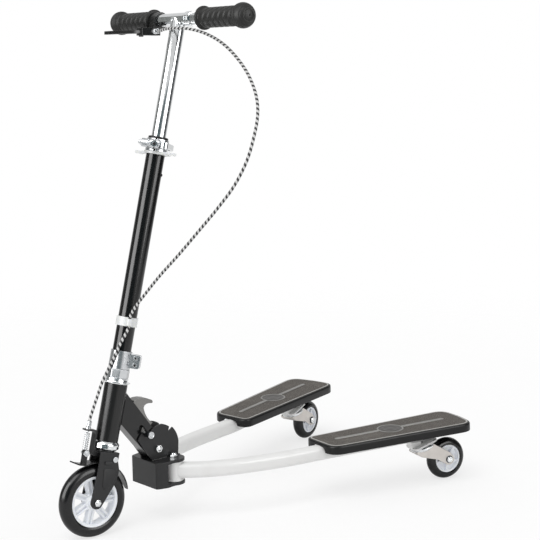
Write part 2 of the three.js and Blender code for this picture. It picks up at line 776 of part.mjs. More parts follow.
function makeLowClamp() {
  const frame = group(steered);
  frame.rotation.z = EAR_AZIMUTH;
  const low = columnFoot;
  const high = low + LOW_CLAMP_HEIGHT;
  const outer = COLUMN_R + SEAT + CLAMP_WALL;
  const ear = profiled(
    roundedRectangle(outer - 6, LOW_EAR_REACH, low + 4, high - 3, 4),
    -EAR_HALF,
    EAR_HALF,
    2,
  );
  const boltX = LOW_EAR_REACH - 7;
  const heights = [low + 10, low + 22];
  const body = cut(
    join(rod(outer, low, high, 20), ear),
    rod(COLUMN_R + SEAT, low - BEYOND, high + BEYOND, 20),
    box(0, THROUGH, -SLIT / 2, SLIT / 2, low - BEYOND, high + BEYOND),
    ...heights.map((z) => crossRod(PINCH_BOLT_R + SEAT, -THROUGH, THROUGH, boltX, z, 12)),
  );
  add(frame, "low_clamp", body, STEEL);
  heights.forEach((z, i) => {
    const face = EAR_HALF + SEAT;
    const socket = hexagon(4.2, face + 1.4, face + 9).rotate([90, 0, 0]);
    const bolt = cut(
      join(
        crossRod(PINCH_BOLT_R, -face - 0.5, face + 3, 0, 0, 14),
        crossRod(PINCH_HEAD_R, -face - 4.2, -face, 0, 0, 16),
        crossRod(PINCH_HEAD_R - 0.5, face, face + 3, 0, 0, 6),
      ),
      socket,
    );
    add(frame, `low_clamp_bolt_${i + 1}`, moved(bolt, boltX, 0, z), GREY_METAL);
  });
}

function makeTopClamp() {
  const frame = group(steered);
  frame.rotation.z = TOP_EAR_AZIMUTH;
  const low = topClampBase;
  const high = COLUMN_TOP;
  const middle = (low + high) / 2;
  const outer = COLUMN_R + SEAT + TOP_CLAMP_WALL;
  const earHalf = 8;
  const ear = profiled(
    roundedRectangle(outer - 7, TOP_EAR_REACH, low + 2.5, high - 2.5, 6),
    -earHalf,
    earHalf,
    2,
  );
  const body = cut(
    join(rod(outer, low, high, 20), ear),
    rod(COLUMN_R + SEAT, low - BEYOND, high + BEYOND, 20),
    box(0, THROUGH, -SLIT / 2, SLIT / 2, low - BEYOND, high + BEYOND),
    crossRod(SKEWER_R + SEAT, -THROUGH, THROUGH, SKEWER_REACH, middle, 12),
  );
  add(frame, "top_clamp", body, STEEL);

  const face = earHalf + SEAT;
  const across = (part) => moved(part.rotate([90, 0, 0]), SKEWER_REACH, 0, middle);
  const knurls = 10;
  const knurled = [];
  for (let i = 0; i < knurls * 2; i++) {
    const a = (Math.PI * i) / knurls;
    const r = i % 2 ? 6.6 : 7.6;
    knurled.push([r * Math.cos(a), r * Math.sin(a)]);
  }
  const skewer = across(
    join(
      rod(SKEWER_R, -face - 1, face + 20, 12),
      rod(6.5, face, face + 2, 14),
      raised(outline(knurled), face + 3.4, face + 14),
      rod(5.4, face + 1, face + 4, 12),
      rod(5, face + 13, face + 17, 12),
    ),
  );
  add(frame, "release_skewer", skewer, STEEL);

  // The release lever: a cam drum beside the ear and a blade that wraps the column.
  const drumY = face + 1 + SEAT + 6.8;
  const drum = rod(6.8, middle - 5.5, middle + 5.5, 20, SKEWER_REACH, drumY);
  const blade = new THREE.Shape();
  blade.moveTo(SKEWER_REACH + 3, drumY + 5.6);
  blade.quadraticCurveTo(10, 29, -7, 27.5);
  blade.quadraticCurveTo(-17, 26, -23, 18);
  blade.lineTo(-20.5, 16.2);
  blade.quadraticCurveTo(-15, 22.8, -6, 24.2);
  blade.quadraticCurveTo(8, 25, SKEWER_REACH - 6, drumY + 1);
  const lever = join(drum, raised(blade, middle - 5, middle + 4.5, 4));
  add(frame, "release_lever", lever, STEEL);
}

function makeColumnFittings() {
  const lip = ring(
    [
      [STEM_R + SEAT, COLUMN_TOP - 16],
      [columnBore - 0.2, COLUMN_TOP - 16],
      [columnBore - 0.2, COLUMN_TOP + SEAT],
      [COLUMN_R + 1, COLUMN_TOP + SEAT],
      [COLUMN_R + 1, COLUMN_TOP + LIP_HEIGHT - 1],
      [COLUMN_R, COLUMN_TOP + LIP_HEIGHT],
      [STEM_R + SEAT, COLUMN_TOP + LIP_HEIGHT],
    ],
    20,
  );
  add(steered, "stem_bushing", lip, BLACK_PLASTIC);

  // The clip plate: a ring on the column with an open claw at each side for a loose grip.
  const top = topClampBase - SEAT;
  const low = top - CLIP_PLATE;
  const end = CLIP_SPAN / 2;
  const arm = (side) => {
    const plate = new THREE.Shape();
    plate.moveTo(-12, -10);
    plate.lineTo(6, -10);
    plate.lineTo(9, -end + 2);
    plate.lineTo(7, -end);
    plate.lineTo(-6, -end);
    plate.lineTo(-7.5, -end + 5);
    plate.lineTo(-3, -end + 7);
    plate.absarc(-8, -38, CLIP_MOUTH_R - 3, -0.9, 0.9);
    plate.lineTo(-14, -26);
    plate.lineTo(-17, -12);
    return onSide(raised(plate, low, top), -side);
  };
  const clip = cut(
    join(rod(CLIP_RING_R, low, top, 24), arm(1), arm(-1)),
    rod(COLUMN_R + SEAT, low - 5, top + 5, 24),
  );
  add(steered, "grip_clip", clip, PALE_PLASTIC);

  // The cable guide: a band on the column with an eye for the cable.
  const foot = GUIDE_FOOT;
  const head = foot + GUIDE_HEIGHT;
  const eye = cableGuide();
  const eyelet = rod(CABLE_R + 2.9, foot + 2, head - 2, 12, eye.x, eye.y);
  const band = cut(
    join(rod(COLUMN_R + 2.6, foot, head, 20), eyelet),
    rod(COLUMN_R + SEAT, foot - BEYOND, head + BEYOND, 20),
    rod(CABLE_R + 0.6, foot - BEYOND, head + BEYOND, 10, eye.x, eye.y),
  );
  add(steered, "cable_guide", band, PALE_PLASTIC);
}

function cableGuide() {
  const azimuth = THREE.MathUtils.degToRad(69);
  const reach = COLUMN_R + 6;
  return new THREE.Vector2(reach * Math.cos(azimuth), reach * Math.sin(azimuth));
}

// Handlebar

function makeHandlebar() {
  const stem = pipe(STEM_R, STEM_R - STEM_WALL, STEM_FOOT, BAR_HEIGHT - 2, 20);
  const cap = rod(STEM_R, BAR_HEIGHT - 20, BAR_HEIGHT, 20);
  const reach = GRIP_END - 9;
  const bar = crossRod(BAR_R, -reach, reach, 0, BAR_HEIGHT, 20);
  add(steered, "handlebar", join(stem, cap, bar), CHROME);

  const collar = wheelRing(
    [
      [BAR_R + SEAT, 0],
      [COLLAR_R - 0.8, 0],
      [COLLAR_R, 0.8],
      [COLLAR_R, COLLAR_LENGTH - 0.8],
      [COLLAR_R - 0.8, COLLAR_LENGTH],
      [BAR_R + SEAT, COLLAR_LENGTH],
    ],
    20,
  );
  add(steered, "bar_collar", moved(collar, 0, COLLAR_START, BAR_HEIGHT), PALE_PLASTIC);
  add(steered, "grip_left", gripBody(), RUBBER).position.z = BAR_HEIGHT;
  const right = add(steered, "grip_right", gripBody(), RUBBER);
  right.position.z = BAR_HEIGHT;
  right.rotation.z = Math.PI;
}

// One grip along +Y, as rows of corners: a flange, a body whose high and low corners
// wind round it as slanting ribs, and a ball end.
function gripBody() {
  const start = GRIP_START;
  const bodyEnd = BALL_CENTRE - 15;
  const bore = BAR_R + SEAT;
  const blind = GRIP_END - 8.5;
  const corners = GRIP_RIBS * 2;
  const rows = [
    [bore, blind, 0],
    [bore, start, 0],
    [GRIP_FLANGE_R - 1.5, start, 0],
    [GRIP_FLANGE_R, start + 1.5, 0],
    [GRIP_FLANGE_R - 0.8, start + 4.5, 0],
  ];
  const ribRows = 6;
  for (let i = 0; i <= ribRows; i++) {
    rows.push([GRIP_R, start + 6.5 + ((bodyEnd - start - 6.5) * i) / ribRows, GRIP_RIB]);
  }
  const ballRows = 4;
  for (let i = 0; i <= ballRows; i++) {
    const a = THREE.MathUtils.degToRad(-44 + (116 * i) / ballRows);
    rows.push([BALL_R * Math.cos(a), BALL_CENTRE + BALL_R * Math.sin(a) * 0.93, 0]);
  }
  const places = [];
  let turn = 0;
  for (const [r, y, rib] of rows) {
    if (rib) turn += GRIP_TWIST;
    for (let k = 0; k < corners; k++) {
      const a = (Math.PI * 2 * k) / corners + turn;
      const reach = r + (k % 2 ? rib : 0);
      places.push(reach * Math.cos(a), y, reach * Math.sin(a));
    }
  }
  const index = [];
  const poles = corners * rows.length;
  for (let k = 0; k < corners; k++) {
    const next = (k + 1) % corners;
    for (let row = 0; row + 1 < rows.length; row++) {
      const a = row * corners;
      const b = a + corners;
      index.push(a + k, b + k, b + next, a + k, b + next, a + next);
    }
    const last = corners * (rows.length - 1);
    index.push(poles, k, next, poles + 1, last + next, last + k);
  }
  places.push(0, blind, 0, 0, GRIP_END, 0);
  const grip = new THREE.BufferGeometry();
  grip.setAttribute("position", new THREE.Float32BufferAttribute(places, 3));
  grip.setIndex(index);
  return solid(grip);
}

// Brake lever and its clamp. Places are from the middle of the crossbar.

function makeBrakeLever() {
  const frame = group(steered, 0, 0, BAR_HEIGHT);
  frame.rotation.y = LEVER_DROP;
  const y0 = -LEVER_CLAMP_START - LEVER_CLAMP_LENGTH;
  const y1 = -LEVER_CLAMP_START;
  const outer = BAR_R + SEAT + LEVER_CLAMP_WALL;
  const { x: px, y: py, z: pz } = LEVER_PIVOT;
  const cheek = LEVER_THICK / 2 + SIDE_PLAY;
  const plan = new THREE.Shape();
  plan.moveTo(4, y1);
  plan.lineTo(20, y1 + 3);
  plan.lineTo(px + 8, y1 - 8);
  plan.absarc(px, py, 8, 0, -Math.PI, true);
  plan.lineTo(px - 8, y0 - 1);
  plan.lineTo(4, y0 - 1);
  const perch = raised(plan, pz - cheek - 3, pz + cheek + 3);
  const saddle = box(2, 15, y0, y1, pz - cheek - 3, 0);
  const mouth = new THREE.Shape();
  mouth.moveTo(px + 30, y1 - 14);
  mouth.lineTo(px - 4, y1 - 12);
  mouth.absarc(px, py, 9, Math.PI * 0.5, Math.PI * 1.1);
  mouth.lineTo(px - 6, py - 30);
  mouth.lineTo(px + 30, py - 30);
  const pin = LEVER_PIN_R;
  const barrel = join(
    crossRod(3.4, y1 - 4, y1 + 8, BARREL_X, pz, 10),
    crossRod(4.6, y1 + 5, y1 + 12, BARREL_X, pz, 10),
    crossRod(3.6, y1 + 11, y1 + 15, BARREL_X, pz, 10),
  );
  const body = cut(
    join(crossRod(outer, y0, y1, 0, 0, 20), saddle, perch, barrel),
    crossRod(BAR_R + SEAT, y0 - BEYOND, THROUGH, 0, 0, 20),
    raised(mouth, pz - cheek, pz + cheek),
    crossRod(CABLE_R + SEAT, y1 + 10, THROUGH, BARREL_X, pz, 10),
  );
  const pivot = join(
    rod(pin, pz - cheek - 4.5, pz + cheek + 4.5, 12, px, py),
    rod(4.2, pz + cheek + 3 - 0.2, pz + cheek + 5, 10, px, py),
    rod(4.2, pz - cheek - 5, pz - cheek - 3 + 0.2, 10, px, py),
  );
  add(frame, "lever_perch", join(body, pivot), GREY_METAL);

  const half = LEVER_THICK / 2;
  const blade = new THREE.Shape();
  blade.moveTo(px + 6, py + 5);
  blade.absarc(px, py, 7, Math.PI * 0.3, Math.PI * 1.05);
  blade.quadraticCurveTo(px + 4, py - 26, px + 10, py - 50);
  blade.quadraticCurveTo(px + 14, py - 68, px + 13, py - 86);
  blade.absarc(px + 17.5, py - 87, 4.5, Math.PI, Math.PI * 2);
  blade.quadraticCurveTo(px + 24, py - 60, px + 18, py - 38);
  blade.quadraticCurveTo(px + 12, py - 16, px + 9, py);
  const lever = cut(
    raised(blade, pz - half, pz + half, 3),
    rod(pin + RUN, pz - 20, pz + 20, 16, px, py),
  );
  add(frame, "brake_lever", lever, GREY_METAL);
}

// Rim brake over the front tyre, its cable stop and springs

function makeBrakeShoe() {
  const half = SHOE_WIDTH / 2;
  const inner = WHEEL_R + SHOE_GAP;
  const outer = inner + SHOE_SHEET;
  const at = (angle, r) => {
    const a = THREE.MathUtils.degToRad(angle);
    return [FORK_OFFSET + r * Math.cos(a), wheelZ + r * Math.sin(a)];
  };
  const under = [];
  const over = [];
  for (let angle = 160; angle >= 64; angle -= 12) {
    const kick = Math.max(0, angle - 146) * 0.14;
    under.push(at(angle, inner + kick));
    over.push(at(angle, outer + kick));
  }
  const nose = [[50, -32.4], [62, -29.4]];
  under.push(...nose);
  over.push(...nose.map(([x, z]) => [x - 0.4, z + SHOE_SHEET]));
  const sheet = profiled(outline([...under, ...over.reverse()]), -half, half);
  // the sheet narrows to a point at the rear and at the nose
  const plan = new THREE.Shape();
  plan.moveTo(66, -2);
  plan.lineTo(66, 2);
  plan.lineTo(47, half);
  plan.lineTo(-36, half);
  plan.quadraticCurveTo(-54, half * 0.8, -60, 1.5);
  plan.lineTo(-60, -1.5);
  plan.quadraticCurveTo(-54, -half * 0.8, -36, -half);
  plan.lineTo(47, -half);
  const trimmed = sheet.intersect(raised(plan, -120, 20));
  const { x, y: z } = SHOE_PIVOT;
  const cheekShape = new THREE.Shape();
  cheekShape.moveTo(x - 9, z - 11);
  cheekShape.lineTo(x - 5.5, z);
  cheekShape.absarc(x, z, 5.5, Math.PI, 0, true);
  cheekShape.lineTo(x + 11, z - 9);
  const cheeks = join(
    profiled(cheekShape, half - 2.2, half),
    profiled(cheekShape, -half, -half + 2.2),
  );
  const tab = profiled(
    outline([[33, -29.8], [42, -31.4], [42, -6.5], [33, -6.5]]),
    -3,
    3,
  );
  const body = cut(
    join(trimmed, cheeks, tab),
    crossRod(3 + RUN, -THROUGH, THROUGH, x, z, 12),
    crossRod(2.5 + SEAT, -THROUGH, THROUGH, CABLE_LINE - 2, -12, 12),
  );
  add(steered, "brake_shoe", body, BLACK_COAT);

  const anchor = join(
    crossRod(2.5, -6, 5, 0, 0, 12),
    crossRod(5.4, 3 + SEAT, 6.4, 0, 0, 14),
    crossRod(3.6, 6.2, 8.4, 0, 0, 6),
    crossRod(4.6, -6.8, -3 - SEAT, 0, 0, 6),
  );
  add(steered, "cable_anchor", moved(anchor, CABLE_LINE - 2, 0, -12), STEEL);

  const face = forkOuter + SEAT;
  const rivet = join(
    crossRod(3, -face - 0.5, face + 0.5, 0, 0, 12),
    crossRod(5, face, face + 1.8, 0, 0, 14),
    crossRod(5, -face - 1.8, -face, 0, 0, 14),
  );
  add(steered, "shoe_pivot", moved(rivet, x, 0, z), STEEL);
}

function makeCableStop() {
  const back = 24 + SEAT;
  const stop = outline([
    [back, -14],
    [back + STOP_SHEET, -14],
    [back + STOP_SHEET, STOP_TOP - STOP_SHEET - 3],
    [back + STOP_SHEET + 3, STOP_TOP - STOP_SHEET],
    [CABLE_LINE + 7, STOP_TOP - STOP_SHEET],
    [CABLE_LINE + 7, STOP_TOP],
    [back + 2, STOP_TOP],
    [back, STOP_TOP - 2],
  ]);
  const bracket = cut(
    profiled(stop, -7, 7),
    rod(2.4 + SEAT, 0, 60, 14, CABLE_LINE, 0),
  );
  add(steered, "cable_stop", bracket, BLACK_COAT);

  const base = STOP_TOP + SEAT;
  const top = base + BARREL_HEIGHT;
  const profile = [
    [1.3, STOP_TOP - STOP_SHEET - 2.5],
    [2.4, STOP_TOP - STOP_SHEET - 2.5],
    [2.4, base],
    [BARREL_R, base],
    [BARREL_R, base + 3.4],
    [BARREL_R - 1, base + 4],
    [BARREL_R - 1, base + 5],
    [BARREL_R, base + 5.6],
    [BARREL_R, top - 1],
    [CABLE_R + 0.4, top],
    [CABLE_R + 0.4, top - 4],
    [1.3, top - 4],
  ];
  add(steered, "barrel_adjuster", moved(ring(profile, 12), CABLE_LINE, 0, 0), STEEL);

  const wire = rod(0.8, -5.8, top - 4 - SEAT, 8, CABLE_LINE, 0);
  add(steered, "brake_wire", wire, STEEL);
  add(steered, "return_spring", returnSpring(-6.5 + SEAT, STOP_TOP - STOP_SHEET - 2.5 - SEAT), STEEL);
}

// One unbroken wire wound about the brake wire, with a straight end at each side.
function returnSpring(low, high) {
  const steps = 8;
  const sides = 5;
  const turns = SPRING_CURLS;
  const rise = high - low - 2 * SPRING_WIRE_R;
  const lead = 2 * SPRING_WIRE_R;
  const centre = (t) => {
    const a = Math.PI * 2 * t;
    const z = low + SPRING_WIRE_R + (rise * t) / turns;
    return new THREE.Vector3(CABLE_LINE + SPRING_R * Math.cos(a), SPRING_R * Math.sin(a), z);
  };
  const points = [];
  for (let i = 0; i <= turns * steps; i++) points.push(centre(i / steps));
  const first = points[0].clone().add(new THREE.Vector3(0, -lead, 0));
  const last = points[points.length - 1].clone().add(new THREE.Vector3(0, lead, 0));
  points.unshift(first);
  points.push(last);
  let least = Infinity;
  for (let i = 0; i < points.length; i++) {
    for (let j = i + steps - 2; j < points.length; j++) {
      least = Math.min(least, points[i].distanceTo(points[j]) - 2 * SPRING_WIRE_R);
    }
  }
  console.log(`return spring: least gap to itself ${least.toFixed(2)} mm`);
  const axis = new THREE.Vector3(CABLE_LINE, 0, 0);
  const places = [];
  points.forEach((p, i) => {
    const next = points[Math.min(i + 1, points.length - 1)];
    const before = points[Math.max(i - 1, 0)];
    const along = next.clone().sub(before).normalize();
    const outward = new THREE.Vector3(p.x - axis.x, p.y, 0);
    outward.addScaledVector(along, -outward.dot(along)).normalize();
    const side = along.clone().cross(outward);
    for (let k = 0; k < sides; k++) {
      const a = (Math.PI * 2 * k) / sides;
      const rim = p.clone();
      rim.addScaledVector(outward, SPRING_WIRE_R * Math.cos(a));
      rim.addScaledVector(side, SPRING_WIRE_R * Math.sin(a));
      places.push(rim.x, rim.y, rim.z);
    }
  });
  const index = [];
  for (let i = 0; i + 1 < points.length; i++) {
    for (let k = 0; k < sides; k++) {
      const a = i * sides + k;
      const b = i * sides + ((k + 1) % sides);
      index.push(a, b, b + sides, a, b + sides, a + sides);
    }
  }
  const end = (points.length - 1) * sides;
  for (let k = 1; k + 1 < sides; k++) {
    index.push(0, k + 1, k);
    index.push(end, end + k, end + k + 1);
  }
  const geometry = new THREE.BufferGeometry();
  geometry.setAttribute("position", new THREE.Float32BufferAttribute(places, 3));
  geometry.setIndex(index);
  return solid(geometry);
}

// The brake cable, from the lever's barrel round its free bow and down to the stop.
// The points are places in the steered frame.
function cableRoute() {
  const eye = cableGuide();
  const y = -LEVER_CLAMP_START + 12;
  const out = new THREE.Vector3(BARREL_X, y, LEVER_PIVOT.z);
  out.applyAxisAngle(new THREE.Vector3(0, 1, 0), LEVER_DROP);
  const z = BAR_HEIGHT + out.z;
  const stop = STOP_TOP + SEAT + BARREL_HEIGHT - 4 + SEAT;
  const v = (a, b, c) => new THREE.Vector3(a, b, c);
  return [
    v(out.x, y, z),
    v(out.x, y + 8, z),
    v(17, -10, z + 2),
    v(17, 20, z + 3),
    v(8, 55, z + 2),
    v(-1, 90, z - 5),
    v(-9, 130, z - 20),
    v(-17, 165, z - 42),
    v(-23, 200, z - 72),
    v(-26, 226, z - 106),
    v(-24, 240, z - 136),
    v(-17, 249, z - 174),
    v(-12, 248, z - 211),
    v(-8, 232, z - 251),
    v(-4, 203, z - 290),
    v(-1, 164, z - 332),
    v(2, 124, z - 374),
    v(4, 84, z - 412),
    v(6, 51, z - 448),
    v(eye.x - 0.4, eye.y + 8, z - 475),
    v(eye.x, eye.y, 228),
    v(eye.x, eye.y, 208),
    v(14.3, 16.3, 183),
    v(19.4, 9.8, 155),
    v(23, 3, 131),
    v(28, 0, 110),
    v(32.5, 0, 86),
    v(36.5, 0, 64),
    v(CABLE_LINE, 0, stop + 6),
    v(CABLE_LINE, 0, stop),
  ];
}

function makeCable() {
  const section = new THREE.Shape();
  const sides = 6;
  for (let k = 0; k < sides; k++) {
    const a = (Math.PI * 2 * k) / sides;
    const p = [CABLE_R * Math.cos(a), CABLE_R * Math.sin(a)];
    if (k) section.lineTo(...p);
    else section.moveTo(...p);
  }
  const route = new THREE.CatmullRomCurve3(cableRoute(), false, "centripetal");
  const tube = new THREE.ExtrudeGeometry(section, {
    steps: 60,
    extrudePath: route,
    curveSegments: 1,
  });
  add(steered, "brake_cable", solid(tube), BLACK_PLASTIC);
}

// Arms, footboards and castors. Made for the left side and mirrored for the right.

const knuckleLow = YOKE_TOP - YOKE_HEIGHT + YOKE_PLATE + SEAT;
const knuckleHigh = YOKE_TOP - YOKE_PLATE - SEAT;
const armTopUnderDeck = DECK_TOP - DECK_SKIN - SEAT;
const armMiddle = armTopUnderDeck - ARM_HEIGHT / 2;
const deckDirection = new THREE.Vector2(-Math.cos(DECK_ANGLE), Math.sin(DECK_ANGLE));

// A place over the footboard: along its length, rearward from its middle, and height.
const onDeck = (along, z) =>
  new THREE.Vector3(DECK_X + deckDirection.x * along, DECK_Y + deckDirection.y * along, z);

// A place that rises rearward with the footboard, given its height under the middle.
const underDeck = (along, z) => onDeck(along, z + along * Math.tan(DECK_PITCH));

// The footboard's own frame: its origin on top of its middle, +X to its front.
function deckMatrix() {
  const turn = new THREE.Matrix4().makeRotationZ(-DECK_ANGLE);
  const pitch = new THREE.Matrix4().makeRotationY(DECK_PITCH);
  return new THREE.Matrix4().makeTranslation(onDeck(0, DECK_TOP)).multiply(turn).multiply(pitch);
}

// The swivel's own frame: +Z up its inclined axis, +X ahead.
function swivelMatrix() {
  const place = onDeck(CASTOR_ALONG, SWIVEL_Z);
  const turn = new THREE.Matrix4().makeRotationZ(-DECK_ANGLE);
  const lean = new THREE.Matrix4().makeRotationY(CASTOR_TILT);
  return new THREE.Matrix4().makeTranslation(place).multiply(turn).multiply(lean);
}

// The wheel centre's depth under the swivel, so that the castor meets the ground
const castorDrop =
  (SWIVEL_Z - CASTOR_WHEEL_R + CASTOR_TRAIL * Math.sin(CASTOR_TILT)) / Math.cos(CASTOR_TILT);

function armBody() {
  const w = ARM_WIDTH / 2;
  const h = ARM_HEIGHT / 2;
  const section = roundedRectangle(-h, h, -w, w, ARM_CORNER);
  const middle = (knuckleLow + knuckleHigh) / 2;
  // seen from above it leaves its knuckle outward and bends rearward to the footboard's line
  const bend = (x, y, z) => new THREE.Vector3(KINGPIN_X + x, KINGPIN_Y + y, z);
  const route = new THREE.CatmullRomCurve3(
    [
      bend(-2, 1.6, middle),
      bend(-18, 18, middle),
      bend(-45, 38.5, middle),
      bend(-90, 60.5, middle),
      bend(-144, 78.5, middle),
      bend(-200, 92.5, middle),
      underDeck(-DECK_LENGTH / 2 + 6, armMiddle),
      underDeck(-DECK_LENGTH / 2 + 34, armMiddle),
      underDeck(-40, armMiddle),
      underDeck(20, armMiddle),
      underDeck(CASTOR_ALONG + 17, armMiddle),
    ],
    false,
    "centripetal",
  );
  const beam = solid(
    new THREE.ExtrudeGeometry(section, { steps: 12, extrudePath: route, curveSegments: 1 }),
  );
  const knuckle = moved(
    turned(
      [
        [0, knuckleLow],
        [KNUCKLE_FLANGE_R, knuckleLow],
        [KNUCKLE_R, knuckleLow + KNUCKLE_FLANGE],
        [KNUCKLE_R, knuckleHigh - KNUCKLE_FLANGE],
        [KNUCKLE_FLANGE_R, knuckleHigh],
        [0, knuckleHigh],
      ],
      18,
    ),
    KINGPIN_X,
    KINGPIN_Y,
    0,
  );
  // the rear end is cut to the slope of the castor plate
  const plateTop = SWIVEL_GAP + SWIVEL_PLATE + SEAT;
  const slope = box(-40, 90, -THROUGH, THROUGH, plateTop - 60, plateTop).transform(swivelMatrix().elements);
  return cut(
    join(beam, knuckle),
    rod(KINGPIN_R + RUN, 0, 200, 20, KINGPIN_X, KINGPIN_Y),
    slope,
  );
}

// The fixed castor plate: follows the swivel's slope and fills up to the arm in front.
function castorPlateBody() {
  const half = ARM_WIDTH / 2 + 1.5;
  const base = SWIVEL_GAP;
  const plate = raised(roundedRectangle(-27, 24, -half - 5, half + 5, 7), base, base + SWIVEL_PLATE, 2);
  const matrix = swivelMatrix();
  const under = armTopUnderDeck - ARM_HEIGHT - SEAT - DECK_TOP;
  const wedge = box(4, 25, -ARM_WIDTH / 2 + 4, ARM_WIDTH / 2 - 4, base + SWIVEL_PLATE - 1, base + 22);
  const below = box(-DECK_LENGTH, 0, -THROUGH, THROUGH, under - THROUGH, under)
    .transform(deckMatrix().elements);
  const filler = wedge.transform(matrix.elements).intersect(below);
  const hole = rod(CASTOR_AXLE_R + 1 + SEAT, -20, 30, 12);
  return cut(join(plate.transform(matrix.elements), filler), hole.transform(matrix.elements));
}

// A closed outline with rounded corners, drawn inward by inset. Each corner is [x, y, radius],
// and they run anticlockwise.
function roundedOutline(corners, inset) {
  const last = corners.length - 1;
  const edges = corners.map(([x, y], i) => {
    const [nextX, nextY] = corners[i < last ? i + 1 : 0];
    const along = new THREE.Vector2(nextX - x, nextY - y).normalize();
    return { along, start: new THREE.Vector2(x - along.y * inset, y + along.x * inset) };
  });
  const shape = new THREE.Shape();
  corners.forEach(([, , radius], i) => {
    const before = edges[i ? i - 1 : last];
    const after = edges[i];
    const apart = after.start.clone().sub(before.start);
    const reach = apart.cross(after.along) / before.along.cross(after.along);
    const corner = before.start.clone().addScaledVector(before.along, reach);
    const turn = Math.acos(before.along.dot(after.along));
    const run = (radius - inset) * Math.tan(turn / 2);
    const from = corner.clone().addScaledVector(before.along, -run);
    const to = corner.clone().addScaledVector(after.along, run);
    if (i) shape.lineTo(from.x, from.y);
    else shape.moveTo(from.x, from.y);
    shape.quadraticCurveTo(corner.x, corner.y, to.x, to.y);
  });
  return shape;
}

// The footboard from above, its front to +X and its outer side to +Y.
function deckOutline(inset) {
  const half = DECK_LENGTH / 2;
  const narrow = DECK_WIDTH / 2 - DECK_TAPER;
  const wide = DECK_WIDTH / 2 + DECK_TAPER;
  const corners = [
    [half + DECK_SKEW, -narrow, INNER_FRONT_CORNER],
    [half - DECK_SKEW, narrow, DECK_CORNER],
    [-half, wide, DECK_CORNER],
    [-half - DECK_BOW, 0, DECK_WIDTH],
    [-half, -wide, DECK_CORNER],
  ];
  return roundedOutline(corners, inset);
}

// The moulded tray, in its own frame.
function deckBody() {
  const segments = 3;
  const lower = raised(deckOutline(0), -DECK_SKIRT, -3.4, segments);
  const shoulder = raised(deckOutline(SKIRT_DRAFT), -DECK_SKIRT + 1, 0, segments);
  const hollow = raised(deckOutline(SKIRT_WALL), -DECK_SKIRT - BEYOND, -DECK_SKIN, segments);
  const recess = raised(deckOutline(PAD_INSET - SEAT), -PAD_RECESS, BEYOND, segments);
  const side = ARCH_WIDTH / 2;
  const foot = -DECK_SKIRT - 2;
  const arch = new THREE.Shape();
  arch.moveTo(-side, foot);
  arch.lineTo(-side + 3, -DECK_SKIN - 5);
  arch.quadraticCurveTo(-side + 6, -DECK_SKIN, -side + 13, -DECK_SKIN);
  arch.lineTo(side - 13, -DECK_SKIN);
  arch.quadraticCurveTo(side - 6, -DECK_SKIN, side - 3, -DECK_SKIN - 5);
  arch.lineTo(side, foot);
  const mouth = profiled(arch, -DECK_SKEW, 30, 2).rotate([0, 0, -90]);
  const ribs = [];
  const inner = ARM_WIDTH / 2 + 3;
  const outer = DECK_WIDTH / 2 - DECK_TAPER;
  for (const along of [-100, -56, 0, 56, 100]) {
    for (const y of [-outer, inner]) {
      const low = -DECK_SKIRT + 4;
      ribs.push(box(along - DECK_RIB / 2, along + DECK_RIB / 2, y, y + outer - inner, low, -DECK_SKIN + 1));
    }
  }
  return cut(
    join(cut(join(lower, shoulder), hollow), ...ribs),
    recess,
    moved(mouth, DECK_LENGTH / 2 - 14, 0, 0),
  );
}

// The non-slip pad in its recess, with a plain round badge and a raised bar on each side of it.
function padBody() {
  const sheet = raised(deckOutline(PAD_INSET), -PAD_RECESS + SEAT, PAD_PROUD, 3);
  const end = DECK_LENGTH / 2 - 34;
  const rise = PAD_PROUD + PAD_RIB;
  const bar = (x0, x1) =>
    raised(roundedRectangle(x0, x1, -PAD_BAR / 2, PAD_BAR / 2, 3), PAD_PROUD - 0.5, rise, 1);
  const disc = rod(BADGE_R, PAD_PROUD - 0.5, rise, 24);
  const dish = rod(BADGE_R - 3, PAD_PROUD + 0.2, BEYOND, 24);
  const bars = [bar(BADGE_R - 3, end), bar(-end, -BADGE_R + 3)];
  return cut(join(sheet, ...bars, disc), dish);
}

// Castor parts, in the swivel's own frame: +Z up the axis, the wheel trails toward -X.
function castorForkBody() {
  const inner = CASTOR_FORK_GAP / 2;
  const outer = inner + CASTOR_PLATE;
  const top = SWIVEL_GAP - SEAT;
  const raceway = turned(
    [
      [0, -4],
      [SWIVEL_R - 5, -4],
      [SWIVEL_R - 1, -2.5],
      [SWIVEL_R, 0],
      [SWIVEL_R - 1, top - 1.5],
      [SWIVEL_R - 5, top],
      [0, top],
    ],
    16,
  );
  const leg = new THREE.Shape();
  leg.moveTo(20, -1);
  leg.lineTo(-19, -1);
  leg.lineTo(-CASTOR_TRAIL - 7.5, -castorDrop + 10);
  leg.absarc(-CASTOR_TRAIL, -castorDrop, CASTOR_LEG_END, Math.PI * 0.72, Math.PI * 1.72);
  leg.lineTo(-17, -33);
  leg.lineTo(13, -14);
  leg.lineTo(21, -5);
  const legs = join(
    profiled(leg, inner, outer),
    profiled(leg, -outer, -inner),
  );
  const bridge = box(-14, 17, -outer, outer, -4, -1);
  return cut(
    join(raceway, legs, bridge),
    crossRod(CASTOR_AXLE_R + SEAT, -THROUGH, THROUGH, -CASTOR_TRAIL, -castorDrop, 12),
  );
}

function kingboltBody() {
  const top = SWIVEL_GAP + SWIVEL_PLATE;
  const shank = CASTOR_AXLE_R + 1;
  return join(rod(shank, -5, top, 12), rod(8, -7.5, -4 - SEAT, 12));
}

function castorAxleBody() {
  const face = CASTOR_FORK_GAP / 2 + CASTOR_PLATE + SEAT;
  return join(
    crossRod(CASTOR_AXLE_R, -face - 0.5, face + 0.5, 0, 0, 16),
    crossRod(6, face, face + 3.2, 0, 0, 18),
    crossRod(6, -face - 4, -face, 0, 0, 6),
  );
}

